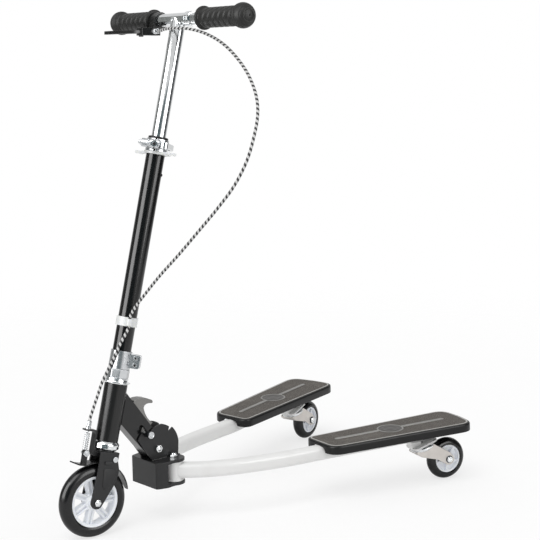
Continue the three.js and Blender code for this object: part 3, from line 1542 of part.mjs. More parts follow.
function castorTyreBody() {
  const half = CASTOR_WIDTH / 2;
  const grip = 11.5;
  const crown = [];
  for (let i = 0; i <= 4; i++) {
    const a = -Math.PI / 2 + (Math.PI * i) / 4;
    crown.push([CASTOR_WHEEL_R - grip + grip * Math.cos(a), half * Math.sin(a)]);
  }
  const inner = CASTOR_RIM_R + SEAT;
  return wheelRing([[inner, -half + 1.4], ...crown, [inner, half - 1.4]], 24);
}

function castorHubBody() {
  const half = CASTOR_WIDTH / 2 - 1.4;
  const rim = wheelRing(
    [[CASTOR_RIM_R - 3, -half], [CASTOR_RIM_R, -half], [CASTOR_RIM_R, half], [CASTOR_RIM_R - 3, half]],
    20,
  );
  const web = crossRod(CASTOR_RIM_R - 1.2, -CASTOR_WEB / 2, CASTOR_WEB / 2, 0, 0, 20);
  const boss = crossRod(9, -CASTOR_FORK_GAP / 2 + 0.6, CASTOR_FORK_GAP / 2 - 0.6, 0, 0, 14);
  const ribs = [];
  for (let i = 0; i < CASTOR_RIBS; i++) {
    const rib = box(6, CASTOR_RIM_R - 1.6, -half + 2.5, half - 2.5, -2.4, 2.4);
    ribs.push(rib.rotate([0, (360 * i) / CASTOR_RIBS, 0]));
  }
  return cut(join(rim, web, boss, ...ribs), crossRod(CASTOR_AXLE_R + RUN, -THROUGH, THROUGH, 0, 0, 16));
}

function makeSide(side, name) {
  add(scooter, `arm_${name}`, onSide(armBody(), side), WHITE_COAT);
  add(scooter, `castor_plate_${name}`, onSide(castorPlateBody(), side), WHITE_COAT);

  const board = group(scooter, DECK_X, side * DECK_Y, DECK_TOP);
  board.rotation.z = -side * DECK_ANGLE;
  const tray = group(board);
  tray.rotation.y = DECK_PITCH;
  add(tray, `deck_${name}`, onSide(deckBody(), side), BLACK_PLASTIC);
  add(tray, `deck_pad_${name}`, onSide(padBody(), side), GRIP_TAPE);

  const place = onDeck(CASTOR_ALONG, SWIVEL_Z);
  const heading = group(scooter, place.x, side * place.y, place.z);
  heading.rotation.z = -side * DECK_ANGLE;
  const swivel = group(heading);
  swivel.rotation.y = CASTOR_TILT;
  add(swivel, `castor_fork_${name}`, cut(castorForkBody(), rod(CASTOR_AXLE_R + 1 + SEAT, -20, 30, 12)), WARM_STEEL);
  add(swivel, `castor_kingbolt_${name}`, kingboltBody(), STEEL);
  const hub = group(swivel, -CASTOR_TRAIL, 0, -castorDrop);
  add(hub, `castor_axle_${name}`, castorAxleBody(), STEEL);
  add(hub, `castor_tyre_${name}`, castorTyreBody(), RUBBER);
  add(hub, `castor_hub_${name}`, castorHubBody(), WHITE_COAT);
}

makeHeadTube();
makeHeadset();
makeStrut();
makeQuadrants();
makeLatch();
makeYoke();
makeFork();
makeFrontWheel();
makeLocknut();
makeColumn();
makeLowClamp();
makeTopClamp();
makeColumnFittings();
makeHandlebar();
makeBrakeLever();
makeBrakeShoe();
makeCableStop();
makeCable();
makeSide(1, "left");
makeSide(-1, "right");

// The origin is moved to the middle of the whole scooter's box, on the ground.
scooter.updateMatrixWorld(true);
const bounds = new THREE.Box3().setFromObject(scooter, true);
scooter.position.set(-(bounds.min.x + bounds.max.x) / 2, -(bounds.min.y + bounds.max.y) / 2, -bounds.min.z);

export default scooter;
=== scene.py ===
"""The looks of a folding three-wheeled drifting scooter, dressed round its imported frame.

Each sub-assembly is a class. Its sizes are in millimetres, in the frame of the part that it
dresses, and a datum matrix carries them to the row frame's metres.
"""

import json
import logging
import math
from collections.abc import Callable, Sequence
from dataclasses import dataclass
from enum import Enum

import bmesh
import bpy
from bmesh.types import BMEdge, BMFace, BMVert
from mathutils import Matrix, Vector

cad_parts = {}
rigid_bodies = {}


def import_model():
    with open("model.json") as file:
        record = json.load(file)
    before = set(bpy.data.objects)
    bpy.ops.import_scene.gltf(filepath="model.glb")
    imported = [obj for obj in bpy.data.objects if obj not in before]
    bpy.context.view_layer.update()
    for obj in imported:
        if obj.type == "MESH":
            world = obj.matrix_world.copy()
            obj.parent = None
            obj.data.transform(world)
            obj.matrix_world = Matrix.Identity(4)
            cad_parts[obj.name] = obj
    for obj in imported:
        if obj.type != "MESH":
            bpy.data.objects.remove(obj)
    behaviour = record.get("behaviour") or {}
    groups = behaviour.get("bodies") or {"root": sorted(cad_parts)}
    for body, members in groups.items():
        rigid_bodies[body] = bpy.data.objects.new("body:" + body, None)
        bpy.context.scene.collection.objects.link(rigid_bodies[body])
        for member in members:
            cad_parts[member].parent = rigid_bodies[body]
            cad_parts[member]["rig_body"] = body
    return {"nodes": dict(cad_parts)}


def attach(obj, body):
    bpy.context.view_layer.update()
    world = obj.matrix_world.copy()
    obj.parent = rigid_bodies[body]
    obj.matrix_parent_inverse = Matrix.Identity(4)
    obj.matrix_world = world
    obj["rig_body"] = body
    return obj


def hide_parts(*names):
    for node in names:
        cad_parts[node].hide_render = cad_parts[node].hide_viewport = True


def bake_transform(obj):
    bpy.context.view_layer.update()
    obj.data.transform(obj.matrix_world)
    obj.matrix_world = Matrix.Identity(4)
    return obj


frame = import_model()

MM = 0.001
SEAT = 0.3
ORIGIN = (0.0, 0.0, 0.0)
log = logging.getLogger("scooter")

Spot = Sequence[float]
Profile = Sequence[tuple[float, float]]
Colour = tuple[float, float, float, float]


def shade(red: float, green: float, blue: float) -> Colour:
    """Turn a colour of 0 to 255 per channel into the linear colour that a shader takes.

    Args:
        red: Red as a screen shows it.
        green: Green as a screen shows it.
        blue: Blue as a screen shows it.

    Returns:
        The linear colour with full alpha.
    """
    def linear(value: float) -> float:
        """Return one channel without its screen curve."""
        v = value / 255
        return v / 12.92 if v <= 0.04045 else ((v + 0.055) / 1.055) ** 2.4

    return (linear(red), linear(green), linear(blue), 1.0)


class Side(Enum):
    """The rider's left or right side, as the sign of Y."""

    LEFT = 1
    RIGHT = -1

    def of(self, name: str) -> str:
        """Return a name with the side after it, as the frame writes it."""
        return f"{name}_{self.name.lower()}"

    def span(self, inner: float, outer: float) -> list[float]:
        """Return two distances from the middle as a rising span of Y on this side."""
        return sorted((self.value * inner, self.value * outer))


class Along(Enum):
    """The axis that a turned or raised form follows, as the turn that brings Z onto it."""

    Z = (0.0, "X")
    Y = (-90.0, "X")
    X = (90.0, "Y")

    def matrix(self) -> Matrix:
        """Return the turn that carries a form made along Z onto this axis."""
        angle, axis = self.value
        return Matrix.Rotation(math.radians(angle), 4, axis)


@dataclass(frozen=True)
class Mount:
    """Where a piece belongs: the frame of its millimetres and the body that it rides on."""

    datum: Matrix
    body: str = ""


@dataclass(frozen=True)
class Datum:
    """The frames of the scooter's groups, from the same sizes as its source."""

    shift: tuple[float, float, float] = (324.7419, -1.7828, -0.0241)
    rake: float = 14.3
    steered_turn: float = -4.6
    axis_place: tuple[float, float, float] = (-30.4, 0.0, 150.0)
    bar_height: float = 740.0
    pivot: tuple[float, float, float] = (-130.0, 0.0, 131.3)
    strut_lean: float = 37.0
    wheel_r: float = 62.5
    wheel_turn: float = -14.0
    tyre_crown: float = 12.5
    fork_offset: float = 8.0
    deck_angle: float = 14.7
    deck_pitch: float = 1.6
    deck_place: tuple[float, float, float] = (-556.2, 164.3, 111.7)
    castor_along: float = 69.5
    lever_drop: float = 12.0
    latch_r: float = 38.0
    swivel_z: float = 69.0
    castor_tilt: float = 17.0
    castor_wheel_r: float = 39.5
    castor_trail: float = 41.1

    @staticmethod
    def turn(angle: float, axis: str) -> Matrix:
        """Return a turn by an angle in degrees about one axis."""
        return Matrix.Rotation(math.radians(angle), 4, axis)

    def scooter(self) -> Matrix:
        """Return the frame of the whole scooter."""
        return Matrix.Scale(MM, 4) @ Matrix.Translation(self.shift)

    def head(self) -> Matrix:
        """Return the frame whose Z is the steering axis."""
        return self.scooter() @ Matrix.Translation(self.axis_place) @ self.turn(-self.rake, "Y")

    def steered(self) -> Matrix:
        """Return the frame that turns with the fork."""
        return self.head() @ self.turn(self.steered_turn, "Z")

    def strut(self) -> Matrix:
        """Return the frame at the fold pivot, with Z along the strut."""
        return self.scooter() @ Matrix.Translation(self.pivot) @ self.turn(self.strut_lean, "Y")

    def lever(self) -> Matrix:
        """Return the brake handle's frame, its origin in the middle of the crossbar."""
        middle = self.steered() @ Matrix.Translation((0.0, 0.0, self.bar_height))
        return middle @ self.turn(self.lever_drop, "Y")

    def front_wheel(self) -> Matrix:
        """Return the front wheel's frame, with Y along its axle and its tyre on the ground.

        Returns:
            The frame.
        """
        rake, steer = math.radians(self.rake), math.radians(self.steered_turn)
        slope = math.sin(rake) * math.sin(steer)
        height = (self.wheel_r - self.tyre_crown) * math.sqrt(1 - slope * slope) + self.tyre_crown
        drop = height - self.axis_place[2] - self.fork_offset * math.sin(rake) * math.cos(steer)
        place = Matrix.Translation((self.fork_offset, 0.0, drop / math.cos(rake)))
        return self.steered() @ place @ self.turn(self.wheel_turn, "Y")

    def on_deck(self, along: float, z: float) -> Vector:
        """Return the place at a height and a distance rearward from the left footboard's middle.

        Args:
            along: The distance rearward.
            z: The height.

        Returns:
            The place.
        """
        angle = math.radians(self.deck_angle)
        x, y, _ = self.deck_place
        return Vector((x - math.cos(angle) * along, y + math.sin(angle) * along, z))

    def under_deck(self, along: float, z: float) -> Vector:
        """Return a place that rises rearward with the footboard, given its height under the middle."""
        return self.on_deck(along, z + along * math.tan(math.radians(self.deck_pitch)))

    def _outward(self, side: Side, spot: Spot, pitch: float) -> Matrix:
        """Return a frame that heads as a side's footboard does.

        Args:
            side: The side that it belongs to.
            spot: Its origin on the left side.
            pitch: How far it leans, in degrees.

        Returns:
            The frame.
        """
        x, y, z = spot
        place = Matrix.Translation((x, side.value * y, z))
        heading = self.turn(-side.value * self.deck_angle, "Z")
        return self.scooter() @ place @ heading @ self.turn(pitch, "Y")

    def deck(self, side: Side) -> Matrix:
        """Return a footboard's frame, its origin on top of its middle and X toward its front."""
        return self._outward(side, self.deck_place, self.deck_pitch)

    def swivel(self, side: Side) -> Matrix:
        """Return a castor swivel's frame, with Z up its inclined axis."""
        return self._outward(side, self.on_deck(self.castor_along, self.swivel_z), self.castor_tilt)

    def castor_offset(self) -> Matrix:
        """Return the step from a castor's swivel to its axle.

        Returns:
            The step, down the swivel's axis and behind it.
        """
        tilt = math.radians(self.castor_tilt)
        rise = self.swivel_z - self.castor_wheel_r + self.castor_trail * math.sin(tilt)
        return Matrix.Translation((-self.castor_trail, 0.0, -rise / math.cos(tilt)))


DATUM = Datum()
HEAD = Mount(DATUM.head(), "front_frame")
STEERING = Mount(DATUM.steered(), "steering")
BARS = Mount(DATUM.steered(), "bars")
BLENDED = Mount(DATUM.steered())
WHEEL = Mount(DATUM.front_wheel(), "front_wheel")
LATCH = Mount(DATUM.strut(), "latch")


class Wire:
    """One value in a node tree. Arithmetic on it adds Math nodes."""

    def __init__(self, tree: "Tree", socket: bpy.types.NodeSocket) -> None:
        """Wrap an output socket of the tree."""
        self.tree = tree
        self.socket = socket

    def maths(self, operation: str, *others: "Wire | float") -> "Wire":
        """Return the result of a Math node on this value and those after it."""
        return self.tree.node("ShaderNodeMath", {"operation": operation}, dict(enumerate((self, *others))))

    def __add__(self, other: "Wire | float") -> "Wire":
        """Return the sum."""
        return self.maths("ADD", other)

    def __mul__(self, other: "Wire | float") -> "Wire":
        """Return the product."""
        return self.maths("MULTIPLY", other)

    def __sub__(self, other: "Wire | float") -> "Wire":
        """Return the difference."""
        return self.maths("SUBTRACT", other)

    def __rsub__(self, other: float) -> "Wire":
        """Return the difference from a number."""
        return self.maths("MULTIPLY", -1.0) + other

    def between(self, low: float, high: float) -> "Wire":
        """Return 0 under low, 1 over high and a smooth step between."""
        values = {"Value": self, "From Min": low, "From Max": high}
        return self.tree.node("ShaderNodeMapRange", {"interpolation_type": "SMOOTHSTEP"}, values)


class Tree:
    """A node tree under construction."""

    def __init__(self, tree: bpy.types.NodeTree) -> None:
        """Take a tree over."""
        self.tree = tree

    def feed(self, socket: bpy.types.NodeSocket, value: object) -> None:
        """Link a wire to a socket, or set the socket's own value.

        Args:
            socket: The input socket.
            value: The wire or the value.
        """
        if isinstance(value, Wire):
            self.tree.links.new(value.socket, socket)
        else:
            socket.default_value = value

    def node(self, kind: str, settings: dict | None = None, inputs: dict | None = None,
             output: int | str = 0) -> Wire:
        """Add any node.

        Args:
            kind: The node's type.
            settings: Its own settings, set first.
            inputs: Values or wires of its sockets, by name or number.
            output: The output that is wanted.

        Returns:
            The wanted output.
        """
        made = self.tree.nodes.new(kind)
        for key, value in (settings or {}).items():
            setattr(made, key, value)
        for key, value in (inputs or {}).items():
            self.feed(made.inputs[key], value)
        return Wire(self, made.outputs[output])


class Shader(Tree):
    """One material under construction."""

    def __init__(self, name: str) -> None:
        """Start a material with its principled surface.

        Args:
            name: The material's name.
        """
        self.material = bpy.data.materials.new(name)
        self.material.use_nodes = True
        super().__init__(self.material.node_tree)
        self.surface = self.tree.nodes["Principled BSDF"]

    def places(self) -> Wire:
        """Return the object coordinates, in metres."""
        return self.node("ShaderNodeTexCoord", output="Object")

    def noise(self, size: float, detail: float = 2.0) -> Wire:
        """Return a cloudy noise of 0 to 1, its blotches of a size in millimetres."""
        values = {"Vector": self.places(), "Scale": 1 / MM / size, "Detail": detail}
        return self.node("ShaderNodeTexNoise", inputs=values)

    def cells(self, size: float) -> Wire:
        """Return the distance to the nearest of scattered points, a grain of that size in millimetres."""
        return self.node("ShaderNodeTexVoronoi", inputs={"Vector": self.places(), "Scale": 1 / MM / size})

    def blend(self, mask: Wire, low: Colour | Wire, high: Colour | Wire) -> Wire:
        """Return a colour that goes from low to high with the mask."""
        return self.node("ShaderNodeMix", {"data_type": "RGBA"}, {0: mask, 6: low, 7: high}, output=2)

    def relief(self, height: Wire, depth: float) -> None:
        """Give the surface a relief, its depth in millimetres."""
        self.set(Normal=self.node("ShaderNodeBump", inputs={"Height": height, "Distance": depth * MM}))

    def set(self, **values: object) -> None:
        """Set sockets of the surface; an underscore in a name stands for a space."""
        for key, value in values.items():
            self.feed(self.surface.inputs[key.replace("_", " ")], value)


@dataclass(frozen=True)
class Finish:
    """A surface finish. Its material is made once."""

    name: str
    slot: str
    colour: Colour

    def material(self) -> bpy.types.Material:
        """Return the finish's material.

        Returns:
            The material, made at the first call.
        """
        found = bpy.data.materials.get(self.name)
        if found is not None:
            return found
        shader = Shader(self.name)
        shader.set(Base_Color=self.colour)
        self.dress(shader)
        return shader.material

    def darker(self, share: float) -> Colour:
        """Return the finish's colour, dimmed to a share."""
        return (*(c * share for c in self.colour[:3]), 1.0)

    def dress(self, shader: Shader) -> None:
        """Give the shader this finish."""


@dataclass(frozen=True)
class Coat(Finish):
    """Baked powder or enamel: an even colour, orange peel and a clear sheen."""

    roughness: float = 0.4
    peel: float = 0.05
    gloss: float = 0.0
    dust: Colour = shade(70, 70, 72)
    dusty: float = 0.1
    mirror: float = 0.5

    def dress(self, shader: Shader) -> None:
        """Lay the coat with its peel and a trace of dust.

        Args:
            shader: The material under construction.
        """
        clouds = shader.noise(38.0, 4.0)
        dusted = shader.blend(clouds.between(0.5, 0.82) * self.dusty, self.colour, self.dust)
        shader.set(Base_Color=dusted, Roughness=clouds * 0.14 + (self.roughness - 0.07),
                   Coat_Weight=self.gloss, Coat_Roughness=0.12, Specular_IOR_Level=self.mirror)
        shader.relief(shader.noise(2.6, 1.0) * 0.7 + shader.noise(0.7, 1.0) * 0.3, self.peel)


@dataclass(frozen=True)
class Metal(Finish):
    """Bare or plated metal, with smudges and fine drawing lines."""

    roughness: float = 0.25
    smudge: float = 0.08
    grain: float = 0.0
    metallic: float = 1.0

    def dress(self, shader: Shader) -> None:
        """Lay the metal with its smudges and grain.

        Args:
            shader: The material under construction.
        """
        clouds, lines = shader.noise(24.0, 3.0), shader.noise(1.4, 2.0)
        rough = clouds * self.smudge + lines * (self.smudge * 0.5)
        shader.set(Base_Color=shader.blend(clouds.between(0.35, 0.8), self.colour, self.darker(0.86)),
                   Roughness=rough + (self.roughness - self.smudge * 0.7), Metallic=self.metallic)
        if self.grain:
            shader.relief(lines, self.grain)


@dataclass(frozen=True)
class Rubber(Finish):
    """Moulded rubber or soft plastic, with a fine skin and rubbed places."""

    roughness: float = 0.5
    grain: float = 0.05
    size: float = 0.8
    rubbed: Colour = shade(58, 57, 56)
    mirror: float = 0.3

    def dress(self, shader: Shader) -> None:
        """Lay the rubber with its skin.

        Args:
            shader: The material under construction.
        """
        clouds = shader.noise(30.0, 3.0)
        shader.set(Base_Color=shader.blend(clouds.between(0.45, 0.9) * 0.3, self.colour, self.rubbed),
                   Roughness=clouds * 0.2 + (self.roughness - 0.1), Specular_IOR_Level=self.mirror)
        shader.relief(shader.noise(self.size, 2.0), self.grain)


@dataclass(frozen=True)
class Plastic(Finish):
    """Injection-moulded plastic, hazy or clear-coated."""

    roughness: float = 0.4
    gloss: float = 0.0
    depth: float = 0.0
    mirror: float = 0.5

    def dress(self, shader: Shader) -> None:
        """Lay the plastic with its mould grain.

        Args:
            shader: The material under construction.
        """
        clouds = shader.noise(18.0, 2.0)
        shader.set(Base_Color=shader.blend(clouds.between(0.4, 0.8), self.colour, self.darker(0.93)),
                   Roughness=clouds * 0.12 + (self.roughness - 0.06), Specular_IOR_Level=self.mirror,
                   Coat_Weight=self.gloss, Coat_Roughness=0.1, Subsurface_Weight=self.depth,
                   Subsurface_Radius=(0.004, 0.004, 0.005))
        shader.relief(shader.noise(0.6, 2.0), 0.03)


@dataclass(frozen=True)
class Grit(Finish):
    """The non-slip sheet: fine bonded grit with paler and darker grains."""

    pale: Colour = shade(140, 135, 128)
    dark: Colour = shade(62, 58, 54)

    def dress(self, shader: Shader) -> None:
        """Lay the grit.

        Args:
            shader: The material under construction.
        """
        grains, speckle, worn = shader.cells(1.1), shader.noise(0.9, 1.0), shader.noise(46.0, 3.0)
        body = shader.blend(grains.between(0.25, 0.7), self.colour, self.dark)
        body = shader.blend(speckle.between(0.56, 0.7), body, self.pale)
        body = shader.blend(worn.between(0.5, 0.8) * 0.25, body, self.pale)
        shader.set(Base_Color=body, Roughness=worn * 0.15 + 0.78)
        shader.relief(1 - grains, 0.35)


@dataclass(frozen=True)
class Braid(Finish):
    """The cable's cover: two strands wound round each other, from the piece's own UV map."""

    dark: Colour = shade(24, 24, 26)
    thread: Colour = shade(196, 196, 196)

    def dress(self, shader: Shader) -> None:
        """Wind the strands round the cable.

        Args:
            shader: The material under construction.
        """
        wound = shader.node("ShaderNodeUVMap", {"uv_map": "wound"})
        along = shader.node("ShaderNodeSeparateXYZ", inputs={0: wound})
        around = Wire(shader, along.socket.node.outputs[1])
        ridge = (along + around).maths("FRACT").maths("PINGPONG", 0.5) * 2
        threads = (along * 7.0 - around * 6.0).maths("FRACT").maths("PINGPONG", 0.5) * 2
        pale = shader.blend(threads.between(0.2, 0.8), self.thread, self.colour)
        shader.set(Base_Color=shader.blend(ridge.between(0.42, 0.58), self.dark, pale), Roughness=0.55)
        shader.relief(ridge.maths("PINGPONG", 0.5) + threads * 0.15, 0.35)


TUBE_COAT = Coat("glossy_black_enamel", "black_coat", shade(12, 12, 13), roughness=0.15, peel=0.02,
                 dusty=0.04)
BLACK_COAT = Coat("black_powder_coat", "black_coat", shade(31, 31, 32), roughness=0.36, mirror=0.4)
SHOE_COAT = Coat("pressed_shoe_coat", "black_coat", shade(24, 24, 24), roughness=0.26, mirror=0.42)
WHITE_COAT = Coat("white_enamel", "white_coat", shade(231, 231, 230), roughness=0.32, gloss=0.15, peel=0.03,
                  dust=shade(214, 213, 210), dusty=0.3, mirror=0.4)
CHROME = Metal("bright_chrome", "chrome", shade(238, 240, 241), roughness=0.06, smudge=0.04)
STEEL = Metal("zinc_plate", "steel", shade(206, 208, 210), roughness=0.24, smudge=0.14, grain=0.02)
CASTOR_STEEL = Metal("pressed_castor_steel", "castor_metal", shade(206, 201, 196), roughness=0.3, smudge=0.12,
                     grain=0.02)
DARK_STEEL = Metal("oiled_steel", "steel", shade(66, 70, 74), roughness=0.32, smudge=0.12)
ALLOY = Metal("cast_grey_alloy", "alloy", shade(132, 131, 129), roughness=0.3, smudge=0.14, grain=0.04)
TYRE = Rubber("moulded_tyre", "tyre", shade(17, 17, 18), roughness=0.2, grain=0.015, size=2.2,
              rubbed=shade(36, 36, 36), mirror=0.42)
GRIP = Rubber("grip_rubber", "grip", shade(36, 36, 35), roughness=0.45, grain=0.02, size=0.7,
              rubbed=shade(46, 45, 44))
HUB = Plastic("hub_plastic", "wheel_plastic", shade(243, 246, 251), roughness=0.3, gloss=0.3, depth=0.12)
DECK = Plastic("moulded_deck_plastic", "deck_plastic", shade(15, 15, 15), roughness=0.34, mirror=0.3)
PAD = Grit("deck_grit", "deck_pad", shade(86, 81, 75))
LINE = Metal("pad_line", "deck_pad", shade(186, 185, 182), roughness=0.36, metallic=0.5)
INLAY = Metal("pad_inlay", "deck_pad", shade(146, 145, 142), roughness=0.4, metallic=0.5)
BADGE = Metal("badge_face", "deck_pad", shade(86, 84, 82), roughness=0.45, metallic=0.3)
PALE = Plastic("moulded_pale_plastic", "pale_plastic", shade(234, 236, 236), roughness=0.34, depth=0.2)
BLACK_PLASTIC = Plastic("moulded_black_plastic", "black_plastic", shade(20, 20, 22), roughness=0.42,
                        mirror=0.3)
BRAID = Braid("cable_cover", "cable", shade(224, 224, 222))


def route_of(points: Sequence[Vector], samples: int) -> list[Vector]:
    """Run a centripetal curve through the points, as the source's routes do.

    Args:
        points: The points that the curve passes.
        samples: Samples on each span.

    Returns:
        The sampled curve, its ends included.
    """
    full = [points[0] * 2 - points[1], *points, points[-1] * 2 - points[-2]]
    found = []
    for i in range(1, len(full) - 2):
        p0, p1, p2, p3 = full[i - 1:i + 3]
        d0, d1, d2 = ((b - a).length ** 0.5 for a, b in ((p0, p1), (p1, p2), (p2, p3)))
        m1 = ((p1 - p0) / d0 - (p2 - p0) / (d0 + d1) + (p2 - p1) / d1) * d1
        m2 = ((p2 - p1) / d1 - (p3 - p1) / (d1 + d2) + (p3 - p2) / d2) * d1
        c2, c3 = (p2 - p1) * 3 - m1 * 2 - m2, (p1 - p2) * 2 + m1 + m2
        found += [p1 + m1 * t + c2 * t ** 2 + c3 * t ** 3 for t in (k / samples for k in range(samples))]
    return [*found, points[-1].copy()]


def arc(x: float, y: float, r: float, start: float, end: float, steps: int = 8) -> list[tuple]:
    """Return points on an arc, both ends included.

    Args:
        x: Centre.
        y: Centre.
        r: Radius.
        start: Angle of the first point, in degrees.
        end: Angle of the last point.
        steps: Number of chords.

    Returns:
        The points.
    """
    angles = (math.radians(start + (end - start) * i / steps) for i in range(steps + 1))
    return [(x + r * math.cos(a), y + r * math.sin(a)) for a in angles]


def rounded(x0: float, x1: float, y0: float, y1: float, r: float, steps: int = 6) -> list[tuple]:
    """Return the outline of a rectangle with round corners, counter-clockwise.

    Args:
        x0: Left edge.
        x1: Right edge.
        y0: Lower edge.
        y1: Upper edge.
        r: Radius of the corners.
        steps: Chords round each corner.

    Returns:
        The outline's corners.
    """
    centres = ((x1 - r, y0 + r), (x1 - r, y1 - r), (x0 + r, y1 - r), (x0 + r, y0 + r))
    return [p for k, (x, y) in enumerate(centres) for p in arc(x, y, r, 90 * k - 90, 90 * k, steps)]


def about(r: float, z: float, *steps: tuple[float, float]) -> Profile:
    """Return profile corners that are given as steps from a radius and a height."""
    return [(r + out, z + up) for out, up in steps]


def mirrored(upper: Profile, middle: Profile = ()) -> Profile:
    """Return a profile that is the same below its middle as above it."""
    return [*((r, -z) for r, z in reversed(upper)), *middle, *upper]


def pipe(inner: float, r: float, low: float, high: float, ease: float) -> Profile:
    """Return a tube's profile, both of its outer rims eased."""
    return [(inner, low), (r - ease, low), (r, low + ease), (r, high - ease), (r - ease, high), (inner, high)]


def placed(name: str, data: bpy.types.ID, place: Matrix = Matrix.Identity(4)) -> bpy.types.Object:
    """Add an object to the scene at a place.

    Args:
        name: The object's name.
        data: Its mesh, lamp or camera.
        place: Where it stands.

    Returns:
        The new object.
    """
    made = bpy.data.objects.new(name, data)
    made.matrix_world = place
    bpy.context.scene.collection.objects.link(made)
    return made


class Form:
    """A shape under construction, in the millimetres of its own frame."""

    def __init__(self) -> None:
        """Start an empty shape."""
        self.mesh = bmesh.new()

    def _since(self, before: set) -> list[BMVert]:
        """Return the corners that were not there before."""
        return [v for v in self.mesh.verts if v not in before]

    def _settle(self, before: set, axis: Along = Along.Z, at: Spot = ORIGIN) -> list[BMVert]:
        """Turn new faces outwards, turn their corners onto an axis and move them to their place.

        Args:
            before: The corners that were there before.
            axis: The axis that the new ones follow.
            at: Where the axis starts.

        Returns:
            The new corners.
        """
        new = self._since(before)
        bmesh.ops.recalc_face_normals(self.mesh, faces=list({f for v in new for f in v.link_faces}))
        self.transform(Matrix.Translation(at) @ axis.matrix(), new)
        return new

    def spin(self, profile: Profile, steps: int = 64, axis: Along = Along.Z, at: Spot = ORIGIN,
             ring: bool = False) -> list[BMVert]:
        """Turn a profile of (radius, height) once round its axis.

        Args:
            profile: The profile's corners.
            steps: Number of facets round.
            axis: The axis that it follows.
            at: Where the axis starts.
            ring: Whether the profile closes on itself, round a bore.

        Returns:
            The new corners.
        """
        before = set(self.mesh.verts)
        line = [self.mesh.verts.new((r, 0, h)) for r, h in profile]
        edges = [self.mesh.edges.new(pair) for pair in zip(line, line[1:])]
        if ring:
            edges.append(self.mesh.edges.new((line[-1], line[0])))
        bmesh.ops.spin(self.mesh, geom=line + edges, angle=math.tau, steps=steps, cent=ORIGIN, axis=(0, 0, 1),
                       use_merge=True, use_duplicate=False)
        bmesh.ops.remove_doubles(self.mesh, verts=self._since(before), dist=1e-4)
        return self._settle(before, axis, at)

    def slab(self, outline: Profile, low: float, high: float, axis: Along = Along.Z) -> list[BMVert]:
        """Raise a flat outline to a plate.

        Args:
            outline: The outline's corners.
            low: Height of its underside.
            high: Height of its top.
            axis: The axis along which it is raised.

        Returns:
            The new corners.
        """
        before = set(self.mesh.verts)
        base = self.mesh.faces.new([self.mesh.verts.new((x, y, low)) for x, y in outline])
        made = bmesh.ops.extrude_face_region(self.mesh, geom=[base])["geom"]
        top = [v for v in made if isinstance(v, BMVert)]
        bmesh.ops.translate(self.mesh, vec=(0, 0, high - low), verts=top)
        return self._settle(before, axis)

    def soften(self, width: float, angle: float = 32.0, segments: int = 2) -> None:
        """Round over each edge that is sharper than an angle in degrees.

        Args:
            width: Width of the rounding, in millimetres.
            angle: The angle.
            segments: Facets across the rounding.
        """
        limit = math.radians(angle)
        sharp = [e for e in self.mesh.edges if len(e.link_faces) == 2 and e.calc_face_angle(0.0) > limit]
        bmesh.ops.bevel(self.mesh, geom=sharp, offset=width, offset_type="OFFSET", segments=segments,
                        profile=0.5, affect="EDGES", material=-1, clamp_overlap=False)

    def stack(self, rings: Sequence[Sequence[Vector]], closed: bool = True, wound: Spot = ()) -> list[BMVert]:
        """Extrude a ring of corners from place to place.

        Args:
            rings: The rings, each with the same number of corners in the same order.
            closed: Whether both ends are capped.
            wound: Turns of the UV map at each ring, or nothing for no map.

        Returns:
            The new corners.
        """
        before = set(self.mesh.verts)
        layer = self.mesh.loops.layers.uv.verify() if wound else None
        first = line = [self.mesh.verts.new(spot) for spot in rings[0]]
        edges = [self.mesh.edges.new(pair) for pair in zip(line, line[1:] + line[:1])]
        for i, ring in enumerate(rings[1:], 1):
            made = bmesh.ops.extrude_edge_only(self.mesh, edges=edges)["geom"]
            fresh = self._follow(line, {g for g in made if isinstance(g, BMVert)})
            for vert, spot in zip(fresh, ring):
                vert.co = spot
            if layer is not None:
                faces = [g for g in made if isinstance(g, BMFace)]
                self._wind(faces, layer, (line, wound[i - 1]), (fresh, wound[i]))
            line = fresh
            edges = [self.mesh.edges.get(pair) for pair in zip(line, line[1:] + line[:1])]
        if closed:
            self.mesh.faces.new(list(reversed(first)))
            self.mesh.faces.new(line)
        return self._settle(before)

    def loop(self, rings: Sequence[Sequence[Vector]]) -> None:
        """Extrude rings of corners round a closed section, so that the last joins the first.

        Args:
            rings: The rings, each with the same number of corners in the same order.
        """
        before = set(self.mesh.verts)
        self.stack([*rings, rings[0]], closed=False)
        bmesh.ops.remove_doubles(self.mesh, verts=self._since(before), dist=1e-4)
        self._settle(before)

    def sweep(self, section: Profile, route: Sequence[Vector], up: Vector | None = None, closed: bool = True,
              winding: float = 0.0) -> list[BMVert]:
        """Carry a closed section along a route by extruding it from place to place.

        Args:
            section: Corners as (across, upward) from the route.
            route: The places that it passes.
            up: Keeps the section upright; without it the section rolls as little as it can.
            closed: Whether both ends are capped.
            winding: Length in millimetres of one turn of the UV map, or 0 for no map.

        Returns:
            The new corners.
        """
        last = len(route) - 1
        tangents = [(route[min(i + 1, last)] - route[max(i - 1, 0)]).normalized() for i in range(last + 1)]
        side = (up or tangents[0].orthogonal()).cross(tangents[0]).normalized()
        rings, wound, travelled = [], [], 0.0
        for i, (place, along) in enumerate(zip(route, tangents)):
            side = (up.cross(along) if up else side - along * side.dot(along)).normalized()
            lift = along.cross(side).normalized()
            rings.append([place + side * x + lift * y for x, y in section])
            travelled += (place - route[i - 1]).length if i else 0.0
            if winding:
                wound.append(travelled / winding)
        return self.stack(rings, closed, wound)

    @staticmethod
    def _follow(old: list, fresh: set) -> list[BMVert]:
        """Return the extruded corners in the order of those that they came from."""
        return [next(e.other_vert(v) for e in v.link_edges if e.other_vert(v) in fresh) for v in old]

